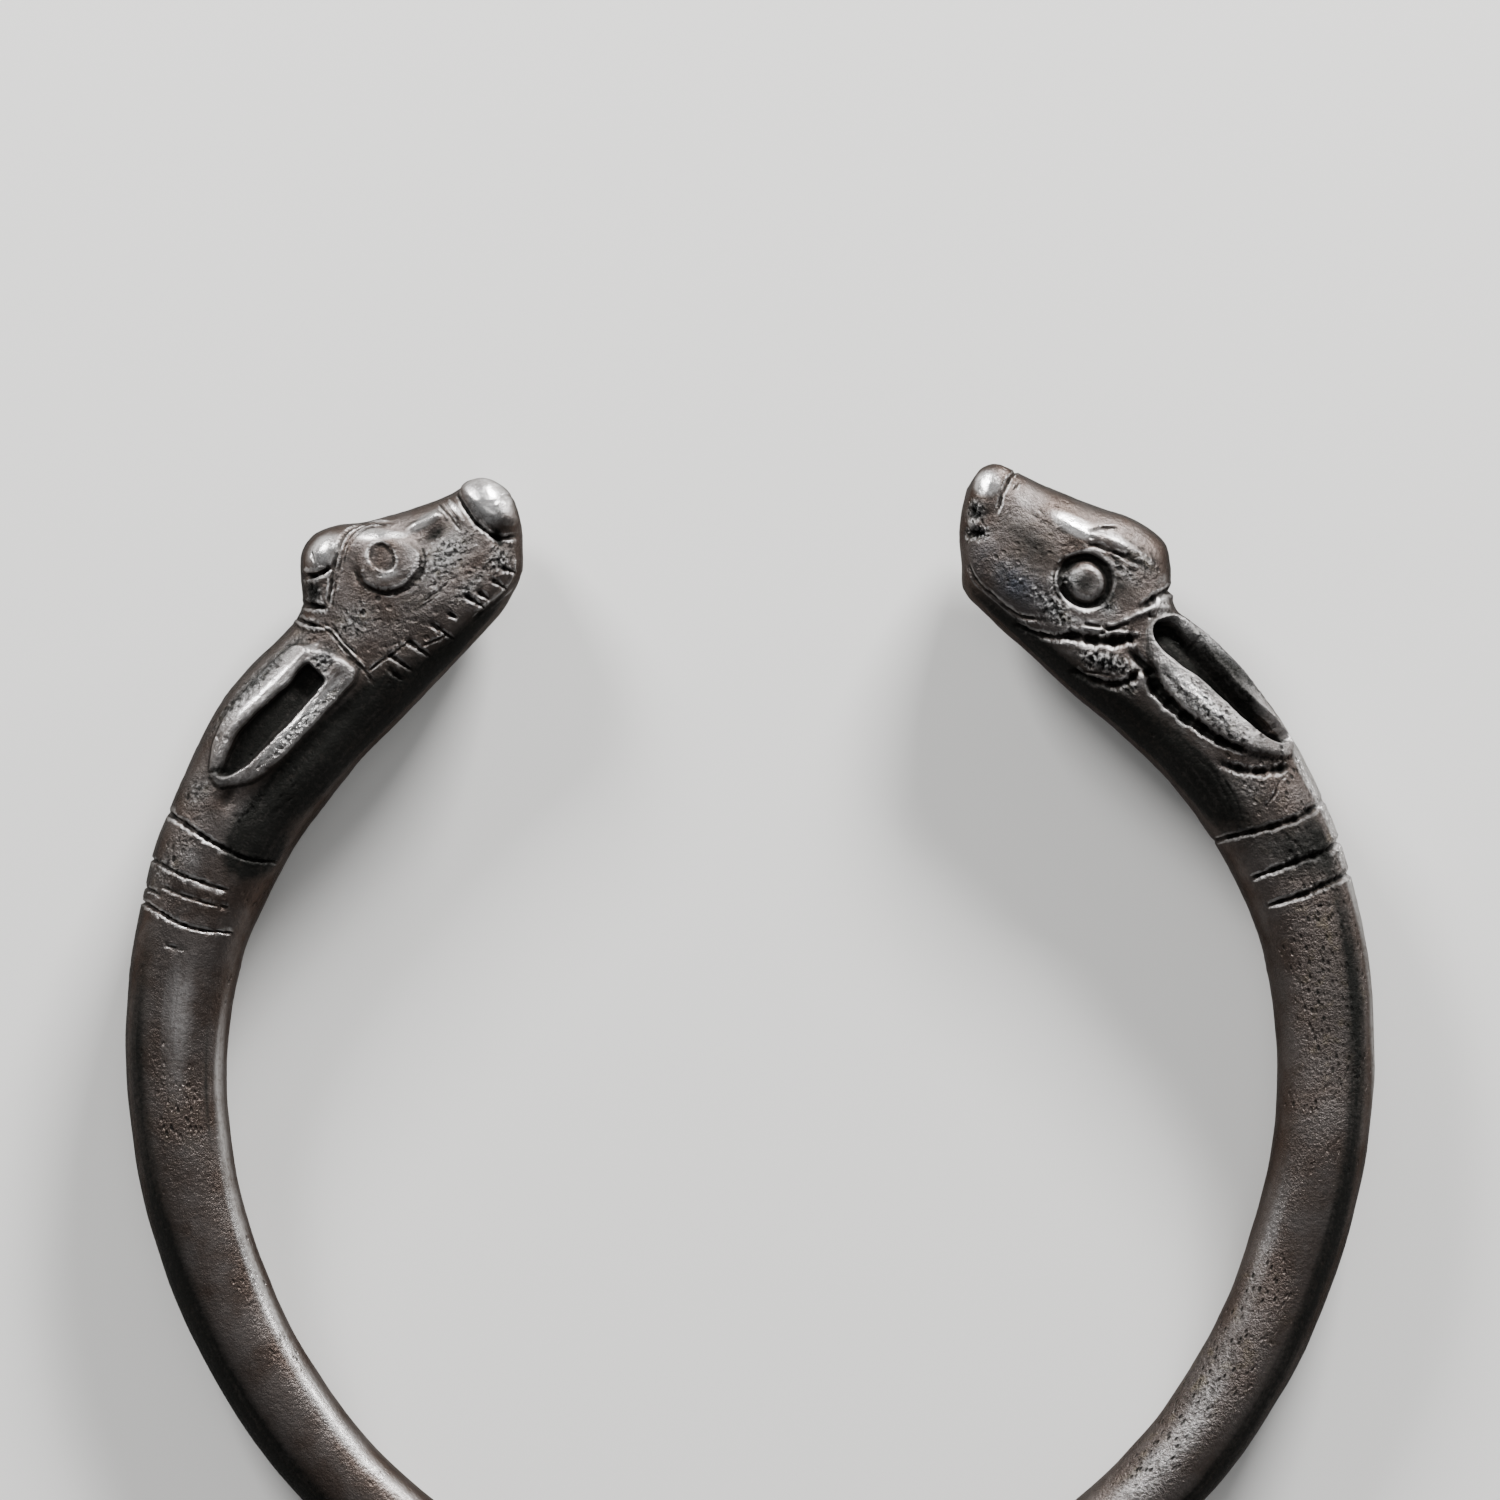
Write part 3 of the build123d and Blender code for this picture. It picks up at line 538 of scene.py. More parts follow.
class BraceletSizes(bpy.types.PropertyGroup):
    """Sizes of the bracelet and of the mesh it is chased on."""

    hoop_width: a_length("Hoop width", "Across the hoop at its sides, outside to outside", 0.070)
    rod_fullness: FloatProperty(
        name="Rod fullness",
        description="2 is a round rod, more is nearer to a square one with round corners",
        default=2.25,
    )
    head_fullness: FloatProperty(
        name="Head fullness",
        description="2 is a round head, more is nearer to a square one with round corners",
        default=2.75,
    )
    hammering: a_length("Hammering", "How far the rod's facets stand off its round form", 0.00008)
    sides: IntProperty(
        name="Sides",
        description="Faces round the rod before the chased places are refined",
        default=48,
    )
    rings: IntProperty(
        name="Rings",
        description="Sections along the bracelet before the chased places are refined",
        default=260,
    )
    fineness: a_length("Fineness", "How far a face may leave the chased form before it is divided", 0.000010)
    most_faces: IntProperty(
        name="Most faces",
        description="No more refining past this number of faces",
        default=92000,
    )


class SilverColours(bpy.types.PropertyGroup):
    """Colours of the worn and tarnished silver."""

    body: a_colour("Silver", "Dull grey of the handled metal", (0.107, 0.093, 0.087))
    brown: a_colour("Brown tarnish", "Warm film in patches over the metal", (0.071, 0.054, 0.046))
    # The dark tarnish colour also paints shade along the hoop's edges, under the ear rims and under the jaws
    dark_tarnish_and_shade: a_colour("Dark tarnish", "Nearly black film in the hollows and cuts", (0.011, 0.011, 0.010))
    # The worn silver colour also paints highlights on noses, brows, bridges and the rod's rims
    bright: a_colour("Worn silver", "Clean metal on edges and bosses that rub", (0.84, 0.825, 0.815))
    crust: a_colour("Grey crust", "Neutral grey of the heads' pitted places", (0.088, 0.091, 0.091))
    ochre: a_colour("Ochre specks", "Yellowish crust in the pitted places", (0.125, 0.104, 0.068))
    blue: a_colour("Blue tarnish", "Bluish film on one cheek", (0.040, 0.043, 0.052))
    edge: a_colour("Edge tint", "Tint of the metal where it is seen at a low angle", (0.30, 0.29, 0.28))


class StageSettings(bpy.types.PropertyGroup):
    """Floor, surroundings and camera."""

    floor_colour: a_colour("Floor", "Plain pale floor", (0.80, 0.79, 0.77))
    studio_colour: a_colour("Studio", "Colour of the light from all round", (0.60, 0.61, 0.62))
    studio_strength: FloatProperty(
        name="Studio strength",
        description="How strong that light is",
        default=0.4,
    )
    view_width: a_length("View width", "How much of the hoop's plane the picture is wide", 0.0841)
    view_height_above_centre: a_length(
        "View centre", "How far the picture's middle lies from the hoop's centre towards the gap", 0.0166
    )
    camera_distance: a_length("Camera distance", "From the hoop's plane to the camera", 0.60)


def hoop_to_floor():
    """Turns and moves the hoop from its own axis to where it lies on the floor."""
    lean = Vector((0, 0, 1)).rotation_difference(Vector(WRIST["axis"]))
    return Matrix.Translation(Vector(WRIST["pos_m"])) @ lean.to_matrix().to_4x4()


def head_axes(head):
    """Directions along the jaw and up to the crown, in the hoop's plane."""
    rise = math.radians(head.rise)
    along = np.array((-head.side * math.cos(rise), math.sin(rise)))
    up = np.array((head.side * math.sin(rise), math.cos(rise)))
    return along, up


def to_plane(head, point):
    along, up = head_axes(head)
    return np.array(head.corner) + along * point[0] + up * point[1]


def rod_section(sizes, side, row):
    """Outer and inner edge, both widths and the fullness of one section of the rod."""
    angle = math.radians(row.angle)
    out = np.array((side * math.cos(angle), math.sin(angle)))
    outer = sizes.hoop_width / 2 / MM * row.outer
    swelling = np.clip((row.depth - ROD_DEPTH) / (FULL_DEPTH - ROD_DEPTH), 0, 1)
    fullness = sizes.rod_fullness + (sizes.head_fullness - sizes.rod_fullness) * swelling
    return (*(out * outer), *(out * (outer - row.thickness)), row.depth, row.depth, fullness)


def head_section(sizes, head, row):
    """Crown and jaw outline, both widths and the fullness of one section of a head."""
    blunt = np.clip(row.jaw_width / BLUNT_WIDTH, 0, 1)
    fullness = OVAL_FULLNESS + (sizes.head_fullness - OVAL_FULLNESS) * blunt
    return (*to_plane(head, row.crown), *to_plane(head, row.jaw), row.crown_width, row.jaw_width, fullness)


def section_table(sizes):
    """How far along each section lies, 0 at the left muzzle and 1 at the right, all sections, the length."""
    rows = [head_section(sizes, LEFT_HEAD, row) for row in reversed(LEFT_HEAD.rows)]
    rows += [rod_section(sizes, -1, row) for row in LEFT_ROD]
    rows += [rod_section(sizes, -1, BACK_ROD)]
    rows += [rod_section(sizes, 1, row) for row in reversed(RIGHT_ROD)]
    rows += [head_section(sizes, RIGHT_HEAD, row) for row in RIGHT_HEAD.rows]
    table = np.array(rows)
    step = np.diff(table, axis=0)
    # The mean of what both edges move and what both sides move, which is half of what the widths change
    moved = (step[:, 0:4] ** 2).sum(1) / 2 + (step[:, 4:6] ** 2).sum(1) / 8
    along = np.concatenate(([0], np.cumsum(np.sqrt(moved))))
    return along / along[-1], table, along[-1]


def eased(x, places, values):
    """Smooth curves through the values at uneven places."""
    slopes = np.diff(values, axis=0) / np.diff(places)[:, None]
    before = np.vstack((slopes[:1], slopes))
    after = np.vstack((slopes, slopes[-1:]))
    gaps = np.diff(places)
    wide_before = np.concatenate((gaps[:1], gaps))[:, None]
    wide_after = np.concatenate((gaps, gaps[-1:]))[:, None]
    tangents = (before * wide_after + after * wide_before) / (wide_before + wide_after)
    span = np.clip(np.searchsorted(places, x, side="right") - 1, 0, len(places) - 2)
    width = gaps[span][:, None]
    t = (x[:, None] - places[span][:, None]) / width
    start = (2 * t**3 - 3 * t**2 + 1) * values[span] + (t**3 - 2 * t**2 + t) * width * tangents[span]
    end = (3 * t**2 - 2 * t**3) * values[span + 1] + (t**3 - t**2) * width * tangents[span + 1]
    return start + end


def plain_form(sections, along, around):
    """Places on the bracelet before it is chased: around is 0 at the outer edge, half a turn at the inner."""
    place, table, _ = sections
    row = eased(np.clip(along, 0, 1), place, table)
    outer, inner = row[:, 0:2], row[:, 2:4]
    crown_width, jaw_width, fullness = row[:, 4], row[:, 5], row[:, 6]
    cosine, sine = np.cos(around), np.sin(around)
    reach = (np.abs(cosine) ** fullness + np.abs(sine) ** fullness) ** (-1 / fullness)
    across = cosine * reach
    width = (crown_width * (1 + across) + jaw_width * (1 - across)) / 2
    flat = (outer + inner) / 2 + (outer - inner) / 2 * across[:, None]
    return np.column_stack((flat, sine * reach * width / 2))


def outward(sections, along, around):
    """Unit normals of the plain form."""
    nudge = 1e-4
    tips = np.clip(along, 2 * nudge, 1 - 2 * nudge)
    lengthwise = plain_form(sections, tips + nudge, around) - plain_form(sections, tips - nudge, around)
    crosswise = plain_form(sections, tips, around + nudge) - plain_form(sections, tips, around - nudge)
    normal = np.cross(lengthwise, crosswise)
    normal /= np.linalg.norm(normal, axis=1)[:, None] + 1e-12
    return normal


def drawn_line(points, closed=False, steps=8):
    """A smooth line through a few points."""
    given = np.array(points, float)
    if closed:
        given = np.vstack((given[-2:], given, given[:2]))
    places = np.concatenate(([0], np.cumsum(np.linalg.norm(np.diff(given, axis=0), axis=1))))
    first, last = (2, len(given) - 2) if closed else (0, len(given) - 1)
    spans = zip(places[first:last], places[first + 1 : last + 1])
    x = np.concatenate([np.linspace(a, b, steps, endpoint=False) for a, b in spans] + [[places[last]]])
    return eased(x, places, given)


def measure_line(flat, line):
    """How far each place is from a line, and how far along the line its nearest point lies."""
    start, step = line[:-1], np.diff(line, axis=0)
    length = np.linalg.norm(step, axis=1)
    rel = flat[:, None, :] - start[None]
    share = np.clip((rel * step).sum(2) / (length**2), 0, 1)
    apart = np.linalg.norm(rel - share[:, :, None] * step, axis=2)
    nearest = apart.argmin(1)
    pick = np.arange(len(flat))
    run = np.concatenate(([0], np.cumsum(length)))
    return apart[pick, nearest], run[nearest] + share[pick, nearest] * length[nearest], run[-1]


def inside(flat, line):
    """Whether each place lies within a closed line."""
    x, y = flat[:, 0:1], flat[:, 1:2]
    x1, y1 = line[:-1, 0], line[:-1, 1]
    x2, y2 = line[1:, 0], line[1:, 1]
    crosses = (y1 > y) != (y2 > y)
    slope = (x2 - x1) / np.where(y2 == y1, 1e-9, y2 - y1)
    return (crosses & (x < x1 + (y - y1) * slope)).sum(1) % 2 == 1


def smooth_step(x):
    x = np.clip(x, 0, 1)
    return x * x * (3 - 2 * x)


def facing_share(normal, limits):
    """0 where the metal faces up or down by less than the lower limit, 1 past the upper one."""
    low, high = limits
    return smooth_step((np.abs(normal[:, 2]) - low) / (high - low))


def near(flat, line, margin):
    """Which places lie no further than the margin from the line's box."""
    low, high = line.min(0) - margin, line.max(0) + margin
    return np.flatnonzero(((flat > low) & (flat < high)).all(1))


def grained(places, size):
    """Uneven grain of about that size, -1 to 1."""
    return np.array([noise.fractal(Vector(p), *GRAIN_OCTAVES) for p in (places / size).tolist()])


def unsteady(flat):
    """Places in the side view, shifted a little unevenly as a hand-held chisel would shift them."""
    shift = [noise.noise_vector(Vector((x, y, 0.0)))[:2] for x, y in (flat / HAND_STEP).tolist()]
    return flat + HAND_SHIFT * np.array(shift).reshape(-1, 2)


def line_height(flat, item):
    """Cuts and ridges: heights along a drawn line, fading out at its ends."""
    line = drawn_line(item.points)
    sunk = isinstance(item, Cut)
    chosen = near(flat, line, item.half_width * (BURR_PLACE + BURR_REACH if sunk else 1))
    height = np.zeros(len(flat))
    if not len(chosen):
        return height
    apart, run, whole = measure_line(flat[chosen], line)
    fade = smooth_step(np.minimum(run, whole - run) / min(FADE_SHARE * whole, LONGEST_FADE) + BLUNT_END)
    if not sunk:
        height[chosen] = item.height * smooth_step(1 - apart / item.half_width) * fade
        return height
    beat = 1 + UNEVEN * sum(b.share * np.sin(b.rate * run + b.phase * whole) for b in BEATS)
    x = apart / (item.half_width * (1 - item.taper * run / whole) * (0.5 + 0.5 * beat))
    groove = -item.depth * np.clip(1 - x, 0, 1) ** STEEPNESS
    burr = item.burr * item.depth * np.clip(1 - np.abs(x - BURR_PLACE) / BURR_REACH, 0, 1)
    height[chosen] = (groove + burr) * fade * beat
    return height


def pad_height(flat, item):
    """Heights of a raised or sunk face, whose edge slopes up from its outline."""
    line = drawn_line(item.points, closed=True)
    height = np.zeros(len(flat))
    chosen = near(flat, line, 0)
    if len(chosen):
        apart = measure_line(flat[chosen], line)[0]
        depth = np.where(inside(flat[chosen], line), apart, 0) / item.edge
        height[chosen] = item.height * smooth_step(depth) ** STEEPNESS
    return height


def oval_axes(flat, item):
    """Places along an oval's own two axes, 1 at its edge."""
    turn = math.radians(item.turn)
    x, y = flat[:, 0] - item.along, flat[:, 1] - item.up
    across = (x * math.cos(turn) + y * math.sin(turn)) / item.half_length
    upright = (y * math.cos(turn) - x * math.sin(turn)) / item.half_height
    return across, upright


def disc_height(flat, item):
    """Heights of an oval face, whose edge slopes more softly round its upper part."""
    across, upright = oval_axes(flat, item)
    out = np.hypot(across, upright)
    top = smooth_step(0.4 + 0.6 * upright / np.maximum(out, 0.01))
    edge = item.edge * (1 + item.soft * top)
    depth = (1 - out) * min(item.half_length, item.half_height) / edge
    return item.height * smooth_step(depth) ** STEEPNESS


def swell_share(flat, item):
    """1 at the middle of a soft oval, 0 outside it."""
    across, upright = oval_axes(flat, item)
    return np.exp(-OVAL_FALL * (across**2 + upright**2))


def patch_height(flat, places, item):
    """Heights of pitted metal, deepest in the patch's middle."""
    share = swell_share(flat, item)
    chosen = np.flatnonzero(share > OVAL_END)
    height = np.zeros(len(flat))
    if len(chosen):
        pits = np.maximum(PIT_MEAN + PIT_SPREAD * grained(places[chosen], item.grain), PIT_CRUST)
        height[chosen] = -item.depth * share[chosen] * pits
    return height


def side_view(head, places):
    """Places seen from the head's side: along the jaw and up towards the crown."""
    along, up = head_axes(head)
    offset = places[:, 0:2] - np.array(head.corner)
    return np.column_stack((offset @ along, offset @ up))


def chased_height(head, places, facing):
    """How far the chased metal stands off the plain form on one half of the bracelet."""
    flat = unsteady(side_view(head, places))
    height = SKIN_DEPTH * grained(places, SKIN_GRAIN)
    for item in head.work:
        if isinstance(item, (Cut, Ridge)):
            height += line_height(flat, item)
        elif isinstance(item, Pad):
            height += pad_height(flat, item) * facing
        elif isinstance(item, Disc):
            height += disc_height(flat, item) * facing
        elif isinstance(item, Patch):
            height += patch_height(flat, places, item) * facing
        else:
            height += item.height * swell_share(flat, item) * facing
    return height


def hammered_height(sizes, places):
    """Soft facets all along the rod, in millimetres."""
    height = np.zeros(len(places))
    for facet in FACETS:
        spots = (places / facet.size + facet.shift).tolist()
        height += facet.share * np.array([noise.noise(Vector(spot)) for spot in spots])
    return sizes.hammering / MM * height


def chased_half(head, plain):
    """Whether each place lies on the head's half of the bracelet, where its work is."""
    return (plain[:, 0] * head.side > 0) & (plain[:, 1] > CHASED_FROM)


def finished_form(sizes, sections, along, around):
    """Places on the finished bracelet and how far the chasing stands off there."""
    plain = plain_form(sections, along, around)
    normal = outward(sections, along, around)
    facing = facing_share(normal, CHASED_FACING)
    height = hammered_height(sizes, plain)
    for head in HEADS:
        half = np.flatnonzero(chased_half(head, plain))
        height[half] += chased_height(head, plain[half], facing[half])
    return plain + normal * height[:, None], height


def closed_tube(sizes):
    """A straight tube of plain rings, closed to a point at both ends."""
    ring_gap = TUBE_LENGTH / sizes.rings
    bm = bmesh.new()
    bmesh.ops.create_cone(
        bm,
        cap_ends=True,
        cap_tris=True,
        segments=sizes.sides,
        radius1=TUBE_RADIUS,
        radius2=TUBE_RADIUS,
        depth=TUBE_LENGTH - 2 * ring_gap,
    )
    lengthwise = [edge for edge in bm.edges if edge.calc_length() > TUBE_LENGTH / 2]
    bmesh.ops.subdivide_edges(bm, edges=lengthwise, cuts=sizes.rings - 3, use_grid_fill=True)
    for vertex in bm.verts:
        if vertex.co.xy.length < TUBE_RADIUS / 2:
            vertex.co.z += math.copysign(ring_gap, vertex.co.z)
    return bm


def tube_places(places):
    """How far along and around the tube each place lies."""
    return places[:, 2] / TUBE_LENGTH + 0.5, np.arctan2(places[:, 1], places[:, 0])


def divide(bm, faces):
    """Halves the faces' edges, in an order that is the same in each run."""
    edges = list(dict.fromkeys(edge for face in faces for edge in face.edges))
    bmesh.ops.subdivide_edges(bm, edges=edges, cuts=1, use_grid_fill=True)


def divide_heads(bm):
    """Divides all of both necks and heads once."""
    along = tube_places(np.array([face.calc_center_median()[:] for face in bm.faces]))[0]
    from_end = np.minimum(along, 1 - along)
    divide(bm, [face for face, share in zip(bm.faces, from_end) if share < HEAD_SHARE])


def refine(bm, sizes, sections):
    """Divides the faces that are too coarse for the chased work, the coarsest first. True if it may go on."""
    bm.verts.index_update()
    bm.edges.index_update()
    tube = np.array([v.co[:] for v in bm.verts])
    ends = np.array([[v.index for v in edge.verts] for edge in bm.edges])
    true = finished_form(sizes, sections, *tube_places(tube))[0]
    middle = finished_form(sizes, sections, *tube_places(tube[ends].mean(1)))[0]
    # Rounded to a nanometre, so that faces that are equally coarse keep their order in each run
    error = np.round(np.linalg.norm(true[ends].mean(1) - middle, axis=1) * MM, 9)
    worst = [(max(error[edge.index] for edge in face.edges), face) for face in bm.faces]
    coarse = sorted((item for item in worst if item[0] > sizes.fineness), key=lambda item: -item[0])
    room = (sizes.most_faces - len(bm.faces)) // FACES_A_DIVISION
    chosen = [face for _, face in coarse[: max(room, 0)]]
    if chosen:
        divide(bm, chosen)
    return bool(chosen) and len(chosen) == len(coarse)


def standing_out(sizes, sections, along, around, reach):
    """How far the chased work stands out of its surroundings, in millimetres."""
    height = finished_form(sizes, sections, along, around)[1]
    surroundings = np.zeros(len(along))
    for turn in LOOKS:
        along_there = np.clip(along + reach / sections[2] * math.cos(turn), 0, 1)
        around_there = around + reach / TUBE_RADIUS * math.sin(turn)
        surroundings += finished_form(sizes, sections, along_there, around_there)[1]
    return height - surroundings / len(LOOKS)


def keep_values(mesh, name, values):
    attribute = mesh.attributes.new(name, "FLOAT", "POINT")
    attribute.data.foreach_set("value", values.astype(np.float32))


def chased_bracelet(sizes):
    """The finished mesh in the row frame, with its wear, painted highlights and painted shade as attributes.
    """
    noise.seed_set(HAND_SEED)
    sections = section_table(sizes)
    bm = closed_tube(sizes)
    divide_heads(bm)
    while refine(bm, sizes, sections):
        pass
    along, around = tube_places(np.array([v.co[:] for v in bm.verts]))
    places = finished_form(sizes, sections, along, around)[0]
    for vertex, place in zip(bm.verts, places * MM):
        vertex.co = place
    bmesh.ops.transform(bm, matrix=hoop_to_floor(), verts=bm.verts)
    lowest = min(v.co.z for v in bm.verts)
    bmesh.ops.translate(bm, vec=(0, 0, -lowest), verts=bm.verts)
    bmesh.ops.recalc_face_normals(bm, faces=bm.faces)
    mesh = bpy.data.meshes.new("bracelet")
    bm.to_mesh(mesh)
    bm.free()
    mesh.shade_smooth()
    keep_values(mesh, "fine_crest", standing_out(sizes, sections, along, around, FINE_REACH))
    keep_values(mesh, "wide_crest", standing_out(sizes, sections, along, around, WIDE_REACH))
    for name, values in surface_shares(sections, along, around).items():
        keep_values(mesh, name, values)
    strokes = mesh.attributes.new("strokes", "FLOAT_VECTOR", "POINT")
    strokes.data.foreach_set("vector", stroke_places(sections, along, around).astype(np.float32).ravel())
    return mesh


def turned(turn, angle):
    """How far round the hoop each place is from an angle, in degrees."""
    return (turn - angle + 180) % 360 - 180


def head_shares(plain, facing):
    """Shares of wear, with painted highlights and painted shade, and of roughness that the heads' tables
    give.
    """
    wear = np.zeros(len(plain))
    rough = np.zeros(len(plain))
    for head in HEADS:
        flat = side_view(head, plain)
        reached = facing * chased_half(head, plain)
        for item in head.wear:
            wear += item.share * swell_share(flat, item) * reached
        for item in head.work:
            if isinstance(item, Patch):
                roughness = min(item.depth / FULLY_ROUGH, 1.0)
                rough = np.maximum(rough, roughness * swell_share(flat, item) * reached)
    return wear, rough


def surface_shares(sections, along, around):
    """Shares of wear with painted highlights and shade, roughness, grey crust, blue film and the edges'
    painted shade all over the bracelet.
    """
    plain = plain_form(sections, along, around)
    normal = outward(sections, along, around)
    wear, crust = head_shares(plain, facing_share(normal, CHASED_FACING))
    turn = np.degrees(np.arctan2(plain[:, 1], plain[:, 0]))
    out = np.hypot(plain[:, 0], plain[:, 1])
    rough = crust
    for place in ROUGH_ROD:
        apart = (turned(turn, place.angle) / place.length) ** 2 + ((out - place.out) / ROUGH_REACH) ** 2
        rough = np.maximum(rough, place.share * np.exp(-apart))
    blue = swell_share(side_view(RIGHT_HEAD, plain), BLUE_PATCH) * (plain[:, 0] > 0)
    # 1 straight out of the hoop and -1 into it. Shade is painted along the edges, heavier on the outer side
    # and thinner where they face into the hoop.
    facing_out = (normal[:, 0:2] * plain[:, 0:2] / out[:, None]).sum(1)
    sides = (1 - facing_share(normal, EDGE_SHADE_FACING)) * (0.5 + 0.5 * smooth_step(0.5 + facing_out))
    # Bands add rubbed metal and painted highlights, or painted shade below nought, and clear the edges'
    # painted shade where bright
    for band in ROD_WEAR_AND_LIGHT_BANDS:
        apart = (turned(turn, band.angle) / band.length) ** 2 + ((facing_out - band.facing) / band.width) ** 2
        share = band.share * np.exp(-apart)
        wear += share
        sides *= 1 - np.clip(share, 0, 1)
    return {"wear": wear, "rough": rough, "crust": crust, "blue_film": blue, "edge_painted_shade": sides}


def stroke_places(sections, along, around):
    """Places in a straightened bracelet, in metres, for marks that run along it."""
    places = (along * sections[2], TUBE_RADIUS * np.cos(around), TUBE_RADIUS * np.sin(around))
    return np.column_stack(places) * MM


class Nodes:
    """Short ways to add and join a material's nodes."""

    def __init__(self, material):
        material.use_nodes = True
        self.tree = material.node_tree
        self.shader = self.tree.nodes["Principled BSDF"]

    def add(self, kind, inputs=None, **settings):
        node = self.tree.nodes.new(kind)
        for name, value in settings.items():
            setattr(node, name, value)
        for name, value in (inputs or {}).items():
            self.set(node.inputs[name], value)
        return node

    def finish(self, inputs):
        """Sets or joins the shader's own inputs."""
        for name, value in inputs.items():
            self.set(self.shader.inputs[name], value)

    def set(self, socket, value):
        if isinstance(value, bpy.types.NodeSocket):
            self.tree.links.new(value, socket)
        else:
            socket.default_value = value

    def math(self, operation, first, second=0.0, third=0.0, clamp=False):
        node = self.add("ShaderNodeMath", operation=operation, use_clamp=clamp)
        for socket, value in zip(node.inputs, (first, second, third)):
            self.set(socket, value)
        return node.outputs[0]

    def times(self, first, second):
        return self.math("MULTIPLY", first, second)

    def scaled(self, value, factor, offset, clamp=False):
        """The value times the factor, plus the offset."""
        return self.math("MULTIPLY_ADD", value, factor, offset, clamp)

    def most(self, *values):
        """The highest of the values."""
        highest = values[0]
        for value in values[1:]:
            highest = self.math("MAXIMUM", highest, value)
        return highest

    def ramp(self, value, low, high):
        """0 at low and below, 1 at high and above."""
        inputs = {"Value": value, "From Min": low, "From Max": high}
        return self.add("ShaderNodeMapRange", inputs, interpolation_type="SMOOTHSTEP").outputs["Result"]

    def colour(self, share, first, second):
        """The first colour, with that share of the second over it."""
        node = self.add("ShaderNodeMix", data_type="RGBA")
        self.set(node.inputs[0], share)
        self.set(node.inputs[6], first)
        self.set(node.inputs[7], second)
        return node.outputs[2]

    def stretched(self, vector, scale, rotation=(0, 0, 0)):
        inputs = {"Vector": vector, "Rotation": rotation, "Scale": scale}
        return self.add("ShaderNodeMapping", inputs).outputs[0]

    def attribute(self, name):
        return self.add("ShaderNodeAttribute", attribute_name=name).outputs["Fac"]

    def noise(self, place, scale, detail=3.0, roughness=0.55):
        inputs = {"Vector": place, "Scale": scale, "Detail": detail, "Roughness": roughness}
        return self.add("ShaderNodeTexNoise", inputs).outputs["Fac"]


def opaque(colour):
    return (*colour, 1.0)


